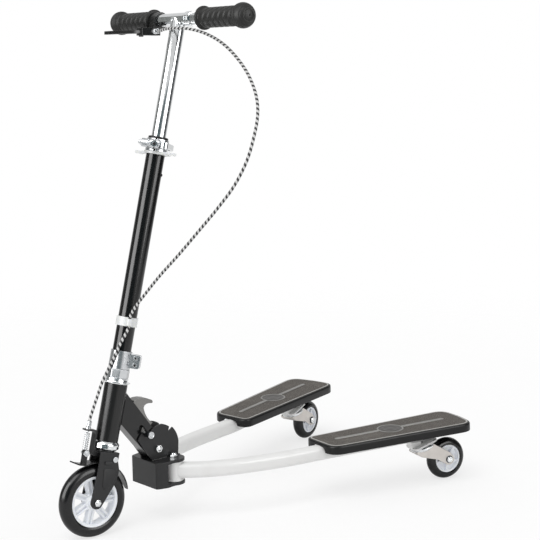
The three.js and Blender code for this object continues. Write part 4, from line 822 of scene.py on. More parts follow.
    @staticmethod
    def _wind(faces: list, layer: object, *lines: tuple[list, float]) -> None:
        """Lay the UV map of one ring of faces: along the route, and round it.

        Args:
            faces: The ring's faces.
            layer: The UV map.
            *lines: The corners before and after the faces, each with its turns of the map.
        """
        number = {v: (k, turns) for line, turns in lines for k, v in enumerate(line)}
        count = len(lines[0][0])
        for face in faces:
            wraps = {0, count - 1} <= {number[v][0] for v in face.verts}
            for corner in face.loops:
                k, u = number[corner.vert]
                corner[layer].uv = (u, (count if wraps and k == 0 else k) / count)

    def displace(self, move: Callable[[Vector], Vector]) -> None:
        """Move every corner by a function of its place."""
        for v in self.mesh.verts:
            v.co = move(v.co)

    def transform(self, matrix: Matrix, verts: list[BMVert] | None = None) -> None:
        """Carry corners by a matrix."""
        bmesh.ops.transform(self.mesh, matrix=matrix, verts=verts or list(self.mesh.verts))

    def mirror(self) -> None:
        """Turn a left form into a right one."""
        bmesh.ops.scale(self.mesh, vec=(1, -1, 1), verts=self.mesh.verts)
        bmesh.ops.reverse_faces(self.mesh, faces=self.mesh.faces)

    def thing(self, name: str, material: bpy.types.Material) -> bpy.types.Object:
        """Close the form as an object of the scene.

        Args:
            name: The object's name.
            material: Its material.

        Returns:
            The new object.
        """
        made = bpy.data.meshes.new(name)
        self.mesh.to_mesh(made)
        self.mesh.free()
        made.materials.append(material)
        return placed(name, made)

    def piece(self, name: str, mount: Mount, finish: Finish, node: str = "",
              smooth: float = 34.0) -> bpy.types.Object:
        """Close the form as a piece of the scooter.

        Args:
            name: The piece's name.
            mount: Where it belongs.
            finish: Its finish.
            node: The frame's node that it stands for, if any.
            smooth: Edges sharper than this many degrees stay crisp.

        Returns:
            The new object.
        """
        self.transform(mount.datum)
        for face in self.mesh.faces:
            face.smooth = True
        piece = self.thing(name, finish.material())
        piece.data.set_sharp_from_angle(angle=math.radians(smooth))
        for layer in piece.data.uv_layers:
            layer.name = "wound"
        if mount.body:
            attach(piece, mount.body)
        if node:
            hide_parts(node)
        log.info("%s: %d faces", name, len(piece.data.polygons))
        return piece


def turned(name: str, mount: Mount, finish: Finish, profile: Profile, node: str = "", steps: int = 72,
           axis: Along = Along.Z, at: Spot = ORIGIN, smooth: float = 34.0, ring: bool = True) -> None:
    """Turn one profile as a whole piece.

    Args:
        name: The piece's name.
        mount: Where it belongs.
        finish: Its finish.
        profile: The profile of (radius, height).
        node: The frame's node that it stands for, if any.
        steps: Number of facets round.
        axis: The axis that it follows.
        at: Where the axis starts.
        smooth: Edges sharper than this many degrees stay crisp.
        ring: Whether the profile closes on itself, round a bore.
    """
    form = Form()
    form.spin(profile, steps, axis, at, ring)
    form.piece(name, mount, finish, node, smooth)


def dressed(node: str, finish: Finish, edge: float = 0.5, angle: float = 32.0, segments: int = 2) -> None:
    """Stand a finer copy in for a node: merged, its flats joined and its edges rounded.

    Args:
        node: The node's name.
        finish: The finish that it gets.
        edge: Width of the rounding, in millimetres.
        angle: Edges sharper than this many degrees are rounded.
        segments: Facets across the rounding.
    """
    source = frame["nodes"][node]
    form = Form()
    form.mesh.from_mesh(source.data)
    form.transform(Matrix.Scale(1 / MM, 4))
    bmesh.ops.remove_doubles(form.mesh, verts=form.mesh.verts, dist=2e-3)
    bmesh.ops.dissolve_limit(form.mesh, angle_limit=math.radians(0.8), verts=form.mesh.verts,
                             edges=form.mesh.edges, use_dissolve_boundaries=False)
    form.soften(edge, angle, segments)
    piece = form.piece(f"{node}_dressed", Mount(Matrix.Scale(MM, 4), source["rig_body"]), finish, node)
    piece.modifiers.new("flats", "WEIGHTED_NORMAL").keep_sharp = True


def knurled(radius: float, low: float, depth: float, count: int) -> Callable[[Vector], Vector]:
    """Return a move that cuts knurls into a form turned round Z.

    Args:
        radius: Corners inside this radius stay.
        low: Corners under this height stay.
        depth: Depth of the knurls.
        count: Number of knurls.

    Returns:
        The move of one corner.
    """
    def cut(p: Vector) -> Vector:
        """Draw a corner in by its angle round the axis.

        Args:
            p: The corner's place.

        Returns:
            Its new place.
        """
        reach = math.hypot(p.x, p.y)
        if reach < radius or p.z < low:
            return p
        share = 1 - depth * (0.5 + 0.5 * math.cos(count * math.atan2(p.y, p.x))) / reach
        return Vector((p.x * share, p.y * share, p.z))

    return cut


@dataclass
class Studio:
    """The camera, the light and the pale ground."""

    camera_place: tuple[float, float, float] = (1.666611, 2.001007, 0.845636)
    yaw: float = 228.82
    pitch: float = -9.29
    roll: float = -0.97
    lens: float = 97.507
    middle: float = 0.15
    ground_reach: float = 2.6
    world_fill: float = 0.69
    mirrored_fill: float = 0.1
    sun_strength: float = 1.22
    sun_aim: tuple[float, float, float] = (-0.55, -0.25, -1.0)
    box_height: float = 2.2
    boxes: tuple[tuple[float, float, float], ...] = ((52, 2.0, 4.6), (-57, 1.6, 3.2))
    card_height: float = 2.4
    cards: tuple[tuple[float, float, float, Colour], ...] = (
        (1, 2.5, 2.9, shade(104, 120, 124)), (104, 2.3, 2.4, shade(150, 152, 150)),
        (-104, 2.3, 2.4, shade(92, 94, 96)), (30, 0.07, 2.8, shade(60, 62, 64)),
    )

    def camera(self) -> None:
        """Stand the camera where the photograph was taken from."""
        data = bpy.data.cameras.new("camera")
        data.lens, data.sensor_width = self.lens, 36.0
        data.clip_start, data.clip_end = 0.05, 60.0
        yaw, pitch, roll = (math.radians(v) for v in (self.yaw, self.pitch, self.roll))
        forward = Vector((math.cos(yaw) * math.cos(pitch), math.sin(yaw) * math.cos(pitch), math.sin(pitch)))
        level = Vector((math.sin(yaw), -math.cos(yaw), 0.0))
        upright = level.cross(forward)
        right = level * math.cos(roll) + upright * math.sin(roll)
        up = upright * math.cos(roll) - level * math.sin(roll)
        turn = Matrix((right, up, -forward)).transposed().to_4x4()
        bpy.context.scene.camera = placed("camera", data, Matrix.Translation(self.camera_place) @ turn)

    def world(self) -> None:
        """Light the scooter evenly, with white where a ray meets the background."""
        world = bpy.data.worlds.new("studio")
        world.use_nodes = True
        bpy.context.scene.world = world
        tree = Tree(world.node_tree)
        kinds = ("Camera", "Glossy", "Transmission")
        seen, glossy, passed = (tree.node("ShaderNodeLightPath", output=f"Is {kind} Ray") for kind in kinds)
        share = seen.maths("MAXIMUM", glossy.maths("MAXIMUM", passed) * self.mirrored_fill)
        background = world.node_tree.nodes["Background"]
        tree.feed(background.inputs["Color"], (1, 1, 1, 1))
        values = {"Value": share, "To Min": self.world_fill}
        tree.feed(background.inputs["Strength"], tree.node("ShaderNodeMapRange", inputs=values))

    def sun(self) -> None:
        """Hang one broad lamp high on the camera's left."""
        data = bpy.data.lights.new("key", "SUN")
        data.energy, data.angle = self.sun_strength, math.radians(38)
        placed("key", data, Vector(self.sun_aim).to_track_quat("-Z", "Y").to_matrix().to_4x4())

    def facing(self, angle: float, reach: float, rise: float, height: float) -> Matrix:
        """Return a frame that stands round the scooter and faces it.

        Args:
            angle: Its angle from the camera's, in degrees.
            reach: Its distance from the middle.
            rise: How far it leans down toward the scooter.
            height: Height of the point that it faces.

        Returns:
            The frame.
        """
        direction = math.radians(self.yaw + 180 - angle)
        aim = Vector((math.cos(direction), math.sin(direction), rise))
        place = Matrix.Translation(aim * reach + Vector((self.middle, 0, height)))
        return place @ aim.to_track_quat("Z", "Y").to_matrix().to_4x4()

    def soft_boxes(self) -> None:
        """Stand two tall soft boxes beside the camera, which draw the streaks on the tubes."""
        for number, (angle, width, radiance) in enumerate(self.boxes):
            data = bpy.data.lights.new(f"soft_box_{number}", "AREA")
            data.shape, data.size, data.size_y = "RECTANGLE", width, self.box_height
            data.energy = 4 * width * self.box_height * radiance
            lamp = placed(f"soft_box_{number}", data, self.facing(angle, 2.5, 0.12, 1.2))
            lamp.visible_camera = lamp.visible_diffuse = False

    def ground(self) -> None:
        """Lay the pale ground, which fades into the background."""
        shader = Shader("pale_ground")
        pale = shader.blend(shader.noise(60.0, 2.0), shade(250, 250, 250), shade(246, 246, 246))
        shader.set(Base_Color=pale, Roughness=0.9, Specular_IOR_Level=0.1)
        glow = shader.node("ShaderNodeEmission", inputs={"Color": (1, 1, 1, 1), "Strength": 1.0})
        seen = shader.node("ShaderNodeLightPath", output="Is Camera Ray")
        lit = Wire(shader, shader.surface.outputs[0])
        pale = shader.node("ShaderNodeMixShader", inputs={0: seen * 0.7, 1: lit, 2: glow})
        reach = shader.node("ShaderNodeVectorMath", {"operation": "LENGTH"}, {0: shader.places()}, "Value")
        fade = reach.between(self.ground_reach * 0.45, self.ground_reach * 0.95)
        clear = shader.node("ShaderNodeBsdfTransparent")
        whole = shader.node("ShaderNodeMixShader", inputs={0: fade, 1: pale, 2: clear})
        shader.feed(shader.tree.nodes["Material Output"].inputs["Surface"], whole)
        form = Form()
        bmesh.ops.create_circle(form.mesh, cap_ends=True, radius=self.ground_reach, segments=96)
        form.thing("ground", shader.material)

    def flags(self) -> None:
        """Stand dark studio flags round the scooter, which only bright metal shows."""
        for number, (angle, width, reach, colour) in enumerate(self.cards):
            shader = Shader(f"flag_cloth_{number}")
            shader.set(Base_Color=colour, Roughness=1.0)
            form = Form()
            bmesh.ops.create_grid(form.mesh, x_segments=1, y_segments=1, size=0.5)
            spread = Matrix.Diagonal((width, self.card_height, 1, 1))
            form.transform(self.facing(angle, reach, 0.0, 1.1) @ spread)
            flag = form.thing(f"flag_{number}", shader.material)
            flag.visible_camera = flag.visible_diffuse = flag.visible_shadow = False

    def build(self) -> None:
        """Set the studio up."""
        self.camera()
        self.world()
        self.sun()
        self.soft_boxes()
        self.ground()
        self.flags()
        bpy.context.scene.view_settings.view_transform = "Standard"


@dataclass
class Headset:
    """The head tube with its chrome bearing cups and lock nut. Heights follow the steering axis."""

    head_r: float = 19.8
    head_wall: float = 3.2
    low: float = 12.0
    high: float = 110.4
    cup_r: float = 23.2
    top_cup_r: float = 21.2
    bore: float = 13.9
    top_cup: float = 10.4
    spigot: float = 9.0

    def build(self) -> None:
        """Turn the head tube, the lower cup with its dust lip and the upper one with its flange."""
        inner, bore, seat = self.head_r - self.head_wall, self.bore, self.low - SEAT
        tube = pipe(inner, self.head_r, self.low, self.high, 0.4)
        turned("head_tube_turned", HEAD, SHOE_COAT, tube, "head_tube")
        fit = inner - SEAT
        lower = about(self.cup_r, 0, (-4.2, -2.5), (-3.4, -2.2), (-1.2, -0.8), (0, 0.8), (0, 3.0),
                      (-0.6, 3.3), (-0.6, 4.0), (0, 4.3), (0, 7.0), (-1.0, 9.2), (-3.4, seat))
        lower = [(bore, -2.5), *lower, (fit, seat), (fit, seat + self.spigot), (bore, seat + self.spigot)]
        turned("lower_cup_turned", HEAD, CHROME, lower, "lower_cup")
        base = self.high + SEAT
        top = base + self.top_cup
        flange = about(self.top_cup_r, base, (-1.2, 0), (0, 0.8), (0.2, 1.8), (2.0, 2.4), (2.4, 2.9),
                       (2.3, 3.7), (1.6, 4.1), (-1.2, 4.6), (-1.5, 5.2))
        crown = about(self.top_cup_r, top, (-1.5, -3.6), (-2.0, -2.8), (-2.0, -2.2), (-1.5, -1.6),
                      (-1.6, -0.5), (-2.4, 0))
        foot = base - self.spigot
        upper = [(bore, foot), (fit, foot), (fit, base), *flange, *crown, (bore, top)]
        turned("upper_cup_turned", HEAD, CHROME, upper, "upper_cup")
        dressed("locknut", STEEL, 0.8, 30)


@dataclass
class Column:
    """The column, the stem in it and what is clamped on them, in the steered frame."""

    radius: float = 16.0
    wall: float = 1.6
    foot: float = 136.7
    top: float = 532.5
    stem_r: float = 12.5
    stem_wall: float = 1.8
    stem_foot: float = 335.0
    bar_r: float = 11.0
    bar_half: float = 200.0
    collar_r: float = 12.9
    collar_start: float = 29.0
    collar_length: float = 18.0
    stud_height: float = 473.0
    ear_azimuth: float = 138.0
    bolt_reach: float = 28.0
    bolt_rises: tuple[float, ...] = (10.0, 22.0)
    bolt_face: float = 12.4
    top_clamp: float = 21.5
    screw_face: float = 31.2

    def screws(self) -> None:
        """Paint shade into the pinch bolts' sockets as black discs, and set the top clamp's screw with a
        black disc of painted shade in its socket.
        """
        form, face = Form(), -self.bolt_face
        # Black hexagon discs on the bolt faces: painted shade standing in for the dark hollow of each socket.
        for rise in self.bolt_rises:
            form.spin([(0, face), (2.1, face), (2.1, face - 0.5), (0, face - 0.5)], 6, Along.Y,
                      (self.bolt_reach, 0, self.foot + rise))
        ear = DATUM.steered() @ DATUM.turn(self.ear_azimuth, "Z")
        form.piece("pinch_bolt_sockets", Mount(ear, "steering"), BLACK_PLASTIC, smooth=30)
        ear = Mount(DATUM.steered() @ DATUM.turn(self.ear_azimuth - 90, "Z"), "steering")
        middle, face = (0, 0, self.top - self.top_clamp / 2), self.screw_face
        rim = about(0, face, (2.7, 0), (5.4, 0), (5.8, 0.5), (5.8, 1.5), (5.2, 2.1), (3.2, 2.1), (2.7, 1.6))
        turned("top_clamp_screw", ear, CHROME, rim, "", 40, Along.X, middle)
        # A black disc inside the screw's bore: painted shade standing in for the dark hollow of its socket.
        disc = about(0, face, (0, 0), (2.65, 0), (2.65, 1.1), (0, 1.1))
        turned("top_clamp_socket", ear, BLACK_PLASTIC, disc, "", 24, Along.X, middle, ring=False)

    def tube(self) -> None:
        """Turn the column and set its height stud."""
        form = Form()
        form.spin(pipe(self.radius - self.wall, self.radius, self.foot, self.top, 0.3), 72, ring=True)
        stud = form.spin([(0, 0), (2.6, 0), (2.6, 1.1), (2.1, 1.8), (1.2, 2.2), (0, 2.4)], 24)
        place = Matrix.Translation((self.radius - 0.6, 0, self.stud_height)) @ Along.X.matrix()
        form.transform(DATUM.turn(self.ear_azimuth, "Z") @ place, stud)
        form.piece("column_turned", STEERING, TUBE_COAT, "column")

    def handlebar(self) -> None:
        """Turn the stem and the crossbar, and lay the weld bead round the saddle where they meet."""
        form = Form()
        r, b, high = self.stem_r, self.bar_r, DATUM.bar_height
        inner = r - self.stem_wall
        form.spin([(inner, self.stem_foot), (r - 0.3, self.stem_foot), (r, self.stem_foot + 0.3),
                   *about(r, high, (0, -5), (-1.2, -1.4), (-4, 0)),
                   *about(0, high, (0, 0), (0, -20), (inner, -20))], 72, ring=True)
        form.spin(pipe(0, b, -self.bar_half, self.bar_half, 0.8), 64, Along.Y, (0, 0, high))
        form.piece("handlebar_turned", BARS, CHROME, "handlebar")
        saddle = [Vector((x, y, high - math.sqrt(b ** 2 - min(abs(x), b) ** 2) * 1.02))
                  for x, y in arc(0, 0, r + 0.2, 0, 360, 96)]
        form = Form()
        form.sweep(arc(0, 0, 1.5, 0, 315, 7), saddle, closed=False)
        bmesh.ops.remove_doubles(form.mesh, verts=form.mesh.verts, dist=0.02)
        form.piece("stem_weld", BARS, CHROME)

    def rings(self) -> None:
        """Turn the black lip at the column's mouth and the grooved collar beside the left grip."""
        inner, outer, top = self.stem_r + SEAT, self.radius + 1.2, self.top
        bore = self.radius - self.wall - 0.2
        lip = about(outer, top, (-0.3, SEAT), (0, 0.7), (0, 2.6), (-0.4, 3.6), (-1.2, 4))
        lip = [(inner, top - 16), (bore, top - 16), (bore, top + SEAT), *lip,
               (inner + 0.4, top + 4), (inner, top + 3.6)]
        turned("stem_bushing_turned", STEERING, BLACK_PLASTIC, lip, "stem_bushing", 64)
        inner, r, end = self.bar_r + SEAT, self.collar_r, self.collar_length
        grooves = [corner for k in (1, 2, 3)
                   for corner in about(r, k * end / 4, (0, -0.9), (-0.6, -0.5), (-0.6, 0.5), (0, 0.9))]
        collar = [(inner, 0), (r - 0.8, 0), (r, 0.8), *grooves, (r, end - 0.8), (r - 0.8, end), (inner, end)]
        turned("bar_collar_turned", BARS, CHROME, collar, "bar_collar", 64, Along.Y,
               (0, self.collar_start, DATUM.bar_height))

    def build(self) -> None:
        """Build the column and what it carries."""
        self.screws()
        self.tube()
        self.handlebar()
        self.rings()
        for copy in (("low_clamp", STEEL, 0.5, 30), ("low_clamp_bolt_1", STEEL, 0.3),
                     ("low_clamp_bolt_2", STEEL, 0.3), ("top_clamp", STEEL, 0.6, 30),
                     ("release_skewer", STEEL, 0.3), ("release_lever", CHROME, 0.9, 40, 3),
                     ("grip_clip", PALE, 0.7), ("cable_guide", PALE, 0.5)):
            dressed(*copy)


@dataclass
class Grip:
    """A rubber grip with winding ribs and a ringed ball end. Y runs outward from the bar's middle."""

    side: Side
    start: float = 74.5
    radius: float = 15.3
    rib: float = 1.6
    starts: int = 2
    pitch: float = 30.0
    groove: float = 0.13
    flange: float = 6.5
    flange_r: float = 20.0
    ball_r: float = 21.0
    ball_centre: float = 187.5
    ball_squash: float = 0.932
    neck: float = 15.0
    end: float = 207.0
    rings: tuple[float, ...] = (-30.0, -21.0, -12.0, -3.0, 38.0, 60.0, 87.0)
    bore: float = 11.3

    def profile(self) -> Profile:
        """Return the grip's profile from its bore round its flange, body and ball.

        Returns:
            The corners as (radius, distance from the bar's middle).
        """
        first, run = self.start + self.flange, self.ball_centre - self.neck - self.start - self.flange
        points = [(self.bore, self.start), *about(self.flange_r, self.start, (-2.2, 0), (-0.7, 0.4), (0, 1.6),
                  (0, 3.0), (-0.9, 4.4)), (self.radius + 1.2, self.start + 5.2)]
        points += [(self.radius, first + run * i / 96) for i in range(97)]
        for at in (-43 + 133 * i / 88 for i in range(89)):
            depth = max(0.0, *(0.9 - 0.3 * abs(at - ring) for ring in self.rings))
            (x, z), = arc(0, 0, self.ball_r - depth, at, at, 1)[:1]
            points.append((max(x, 0.0), self.ball_centre + z * self.ball_squash))
        return [*points, (0, self.end - 8.5), (self.bore, self.end - 8.5)]

    def wind(self, p: Vector) -> Vector:
        """Raise the ribs on the body.

        Args:
            p: A corner's place.

        Returns:
            Its new place.
        """
        r, first, last = math.hypot(p.x, p.y), self.start + self.flange, self.ball_centre - self.neck
        if r < self.bore + 1 or not first < p.z < last:
            return p
        turn = math.atan2(p.y, p.x) / math.tau * self.starts + p.z / self.pitch * self.starts
        wave = 1 - math.exp(-((turn % 1 - 0.5) / self.groove) ** 2)
        lift = 1 + self.rib * min(1.0, (p.z - first) / 3, (last - p.z) / 3) * wave / r
        return Vector((p.x * lift, p.y * lift, p.z))

    def build(self) -> None:
        """Turn the grip, wind its ribs and set it on the bar."""
        form = Form()
        form.spin(self.profile(), 96, ring=True)
        form.displace(self.wind)
        outward = DATUM.turn(90 - 90 * self.side.value, "Z") @ Along.Y.matrix()
        form.transform(Matrix.Translation((0, 0, DATUM.bar_height)) @ outward)
        node = self.side.of("grip")
        form.piece(f"{node}_wound", BARS, GRIP, node, 50)


@dataclass
class Brake:
    """The brake handle, its cable to the fork and the shoe over the tyre."""

    cable_r: float = 2.5
    cable_line: float = 39.5
    way_out: tuple[float, float, float] = (18.0, -43.0, -19.0)
    eye_azimuth: float = 69.0
    eye_reach: float = 22.0
    braid_turn: float = 8.6
    stop_top: float = 29.0
    stop_sheet: float = 2.5
    barrel_height: float = 14.0
    barrel_r: float = 4.2
    barrel_tail: float = 2.5
    seat_depth: float = 4.0
    spring_r: float = 4.0
    spring_wire: float = 0.75
    spring_turns: int = 8
    spring_foot: float = -6.5
    wire_r: float = 0.8
    wire_foot: float = -5.8

    def cable_points(self) -> list[Vector]:
        """Return the places that the cable passes, in the steered frame.

        Returns:
            The places, from handle to stop.
        """
        (eye_x, eye_y), = arc(0, 0, self.eye_reach, self.eye_azimuth, self.eye_azimuth, 1)[:1]
        stop = self.stop_top + SEAT + self.barrel_height - self.seat_depth + SEAT
        out = DATUM.turn(DATUM.lever_drop, "Y") @ Vector(self.way_out)
        high = DATUM.bar_height + out.z
        bow = (
            (17, -10, 2), (17, 20, 3), (8, 55, 2), (-1, 90, -5), (-9, 130, -20), (-17, 165, -42),
            (-23, 200, -72), (-26, 226, -106), (-24, 240, -136), (-17, 249, -174), (-12, 248, -211),
            (-8, 232, -251), (-4, 203, -290), (-1, 164, -332), (2, 124, -374), (4, 84, -412), (6, 51, -448),
            (eye_x - 0.4, eye_y + 8, -475),
        )
        spots = [
            (out.x, out.y, high), (out.x, out.y + 8, high), *((x, y, high + down) for x, y, down in bow),
            (eye_x, eye_y, 228), (eye_x, eye_y, 208), (14.3, 16.3, 183), (19.4, 9.8, 155), (23, 3, 131),
            (28, 0, 110), (32.5, 0, 86), (36.5, 0, 64), (self.cable_line, 0, stop + 6),
            (self.cable_line, 0, stop),
        ]
        return [Vector(s) for s in spots]

    def cable(self) -> None:
        """Run the braided cable from the handle round its bow to the stop."""
        route = route_of(self.cable_points(), 14)
        form = Form()
        form.sweep(arc(0, 0, self.cable_r, 0, 360 - 360 / 14, 13), route, winding=self.braid_turn)
        piece = form.piece("brake_cable_braided", BLENDED, BRAID, "brake_cable", 60)
        matrix = DATUM.steered()
        path = [matrix @ p for p in route]
        length = sum((b - a).length for a, b in zip(path, path[1:]))
        low, high = (matrix @ Vector((0, 0, z)) for z in (230, 700))
        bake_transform(piece)
        log.info("brake cable: %.3f m", length)

    def adjusters(self) -> None:
        """Turn the adjuster where the cable leaves the handle and the barrel adjuster at the stop."""
        form = Form()
        form.spin([(3.0, 0), (4.3, 0), (5.0, 0.6), (5.0, 6.4), (4.4, 7.2), (4.0, 7.4), (4.0, 9.4), (4.5, 9.8),
                   (4.5, 12.2), (3.9, 12.8), (3.0, 13)], 40, ring=True)
        form.displace(knurled(4.6, 0.0, 0.4, 10))
        x, y, z = self.way_out
        form.transform(Matrix.Translation((x, y - 7.2, z)) @ Along.Y.matrix())
        form.piece("lever_adjuster", Mount(DATUM.lever(), "bars"), STEEL)
        base, r, bore = self.stop_top + SEAT, self.barrel_r, self.cable_r + 0.4
        under, top = self.stop_top - self.stop_sheet - self.barrel_tail, base + self.barrel_height
        flank = ((0, 6.2 + k * 0.9) for k in range(8))
        skirt = about(r, base, (0, 0), (0, 3.4), (-1, 4), (-1, 5), (0, 5.6), *flank)
        form = Form()
        form.spin([(1.3, under), (2.4, under), (2.4, base), *skirt, (r, top - 1), (bore, top),
                   (bore, top - self.seat_depth), (1.3, top - self.seat_depth)], 48, ring=True)
        form.displace(knurled(r - 0.2, base + 5.6, 0.35, 16))
        form.transform(Matrix.Translation((self.cable_line, 0, 0)))
        form.piece("barrel_adjuster_knurled", STEERING, STEEL, "barrel_adjuster")

    def strung(self, form: Form, name: str, node: str, low: float, high: float) -> None:
        """Close a form on the cable's line as a piece in the steered frame.

        Args:
            form: The form.
            name: The piece's name.
            node: The node that it stands for.
            low: Height of its lower end.
            high: Height of its upper end.
        """
        piece = form.piece(name, BLENDED, STEEL, node, 60)
        start, end = (BLENDED.datum @ Vector((self.cable_line, 0, z)) for z in (high, low))
        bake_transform(piece)

    def spring(self) -> None:
        """Wind the return spring between the shoe and the stop."""
        low = self.spring_foot + SEAT
        high = self.stop_top - self.stop_sheet - self.barrel_tail - SEAT
        rise, chords = high - low - 2 * self.spring_wire, 24 * self.spring_turns
        circles = arc(self.cable_line, 0, self.spring_r, 0, 360 * self.spring_turns, chords)
        foot = low + self.spring_wire
        route = [Vector((x, y, foot + rise * i / chords)) for i, (x, y) in enumerate(circles)]
        form = Form()
        form.sweep(arc(0, 0, self.spring_wire, 0, 315, 7), route)
        self.strung(form, "return_spring_wound", "return_spring", low, high)

    def wire(self) -> None:
        """Draw the bare wire below the stop, with its twisted strands."""
        top, foot = self.stop_top + SEAT + self.barrel_height - self.seat_depth - SEAT, self.wire_foot
        turns = (math.tau * k / 24 for k in range(24))
        ridges = ((self.wire_r * (1 + 0.14 * math.cos(6 * a)), a) for a in turns)
        form = Form()
        form.sweep([(r * math.cos(a), r * math.sin(a)) for r, a in ridges],
                   [Vector((0, 0, foot + (top - foot) * i / 60)) for i in range(61)])
        form.displace(lambda p: Matrix.Rotation((p.z - foot) * 0.9, 3, "Z") @ p)
        form.transform(Matrix.Translation((self.cable_line, 0, 0)))
        self.strung(form, "brake_wire_stranded", "brake_wire", foot, top)

    def build(self) -> None:
        """Build the brake from handle to shoe."""
        self.cable()
        self.adjusters()
        self.spring()
        self.wire()
        for copy in (("lever_perch", SHOE_COAT, 0.5), ("brake_lever", SHOE_COAT, 0.8, 40, 3),
                     ("brake_shoe", SHOE_COAT, 0.4, 40), ("cable_stop", BLACK_COAT, 0.4),
                     ("cable_anchor", STEEL, 0.3), ("shoe_pivot", STEEL, 0.4)):
            dressed(*copy)


@dataclass
class FrontWheel:
    """The front wheel, with Y along its axle."""

    width: float = 25.0
    rim_r: float = 44.0
    rim_width: float = 22.0
    boss_half: float = 13.8
    spokes: int = 7

    def tyre(self) -> None:
        """Turn the tyre with its side grooves."""
        crown, shoulder, rim = self.width / 2, self.rim_width / 2, self.rim_r
        centre = DATUM.wheel_r - crown
        wall = [(centre - 2.2, crown - 0.2), (rim + 1.4, shoulder + 0.5), (rim + SEAT, shoulder)]
        profile = mirrored(wall, arc(centre, 0, crown, -90, 90, 28))
        turned("front_tyre_moulded", WHEEL, TYRE, profile, "front_tyre", 128, Along.Y, smooth=50)

    def hub(self) -> None:
        """Turn the rim and the boss, and set the double-ribbed spokes between them."""
        form = Form()
        rim, half, end = self.rim_r, self.rim_width / 2, self.boss_half
        lip = about(rim, half, (0, -0.4), (-0.5, 0), (-4.6, -0.9), (-5, -1.6))
        form.spin(mirrored(lip), 128, Along.Y, ring=True)
        boss = [(15.8, 5.9), (15.2, 6.5), (12.5, 6.9), (12.5, end - 0.8), (11.7, end), (4.4, end)]
        form.spin(mirrored(boss), 72, Along.Y, ring=True)
        for k in range(self.spokes):
            new = []
            for side in Side:
                new += form.slab(rounded(13.0, rim - 4.4, *side.span(1.8, 5.5), 0.6, 2), -6.5, 6.5, Along.Y)
            new += form.slab(rounded(13.0, rim - 4.4, -2.2, 2.2, 0.4, 1), -3.4, 3.4, Along.Y)
            form.transform(DATUM.turn(-360 * k / self.spokes, "Y"), new)
        form.soften(0.6, 55, 2)
        form.piece("front_hub_spoked", WHEEL, HUB, "front_hub")

    def bearings(self) -> None:
        """Set the shielded bearings in both ends of the hub."""
        shield = ((4.5, 0), (7.6, 0), (8.0, 0.25), (10.6, 0.25), (11.0, 0.0), (11.0, 1.0), (4.5, 1.0))
        for side in Side:
            out = side.value
            turned(side.of("front_bearing"), WHEEL, STEEL, [(r, -out * deep) for r, deep in shield], "", 48,
                   Along.Y, (0, out * (self.boss_half + 0.15), 0))

    def build(self) -> None:
        """Build the wheel."""
        self.tyre()
        self.hub()
        self.bearings()


@dataclass
class ForkAndFold:
    """The fork, the strut and the fold joint, mostly as dressed copies."""

    fork_face: float = 18.0
    plate_face: float = 16.0
    yoke_top: float = 111.5
    pin_r: float = 4.0
    pin_head_r: float = 6.2
    pin_reach: float = 30.0

    def pressings(self) -> None:
        """Raise the pressed panel and rib on the outside of each fork leg."""
        panel = [(6.5, 35.5), (3.8, 64), (-1, 69), (-7.5, 68), (-15.5, 57), (-19.5, 46), (-19, 35.5),
                 (-16, 32.5), (2, 32.5)]
        form, face = Form(), self.fork_face
        for side in Side:
            form.slab(panel, *side.span(face - 0.5, face + 0.9), Along.Y)
            form.slab(rounded(-10.6, 6.6, 21.4, 27.2, 2.8, 6), *side.span(face - 1.0, face + 2.3), Along.Y)
        form.soften(0.5, 50, 3)
        form.piece("fork_pressings", STEERING, BLACK_COAT, smooth=60)

    def welds(self) -> None:
        """Lay the beads, swollen in overlapping scales, along both feet of the quadrants."""
        form = Form()
        for side in Side:
            y, z = side.value * (self.plate_face + 0.4), self.yoke_top + 0.3
            for start, end in ((-176.0, -168.0), (-148.0, -116.5)):
                steps = round((end - start) * 2)
                route = [Vector((start + (end - start) * i / steps, y, z)) for i in range(steps + 1)]
                for vert in form.sweep(arc(0, 0, 1.5, 0, 330, 11), route):
                    centre = Vector((vert.co.x, y, z))
                    vert.co = centre + (vert.co - centre) * (0.82 + 0.28 * abs(math.sin(vert.co.x * 1.35)))
        form.piece("quadrant_welds", Mount(DATUM.scooter(), "rear_frame"), SHOE_COAT, smooth=70)

    def pin(self) -> None:
        """Turn the latch pin with its ringed heads, and the dark sleeves behind them."""
        r, wide, end, at = self.pin_r, self.pin_head_r, self.pin_reach, (0, 0, DATUM.latch_r)
        half = about(0, end, (r, -3), (wide - 0.3, -3), (wide, -2.7), (wide, -0.6), (wide - 0.6, 0), (4.2, 0),
                     (3.9, -0.5), (2.8, -0.5), (2.5, 0), (1.2, 0), (0, -0.2))
        turned("latch_pin_turned", LATCH, STEEL, mirrored(half), "latch_pin", 48, Along.Y, at, 30, ring=False)
        form = Form()
        for side in Side:
            low, high = side.span(self.plate_face + 0.4, end - 3.1)
            form.spin([(r + 0.1, low), (5.4, low), (5.6, low + 0.3), (5.6, high - 0.3), (5.4, high),
                       (r + 0.1, high)], 48, Along.Y, at, ring=True)
        form.piece("latch_sleeves", LATCH, DARK_STEEL)

    def build(self) -> None:
        """Dress the black frame parts and their bright fasteners."""
        for copy in (("fork", BLACK_COAT, 0.7), ("front_axle", CHROME, 0.4), ("strut", TUBE_COAT, 0.8),
                     ("quadrant_left", BLACK_COAT, 0.4), ("quadrant_right", BLACK_COAT, 0.4),
                     ("fold_bolt", CHROME, 0.4), ("latch_hook", ALLOY, 0.6), ("yoke", BLACK_COAT, 0.7),
                     ("kingpin_left", CHROME, 0.4), ("kingpin_right", CHROME, 0.4)):
            dressed(*copy)
        self.pin()
        self.pressings()
        self.welds()


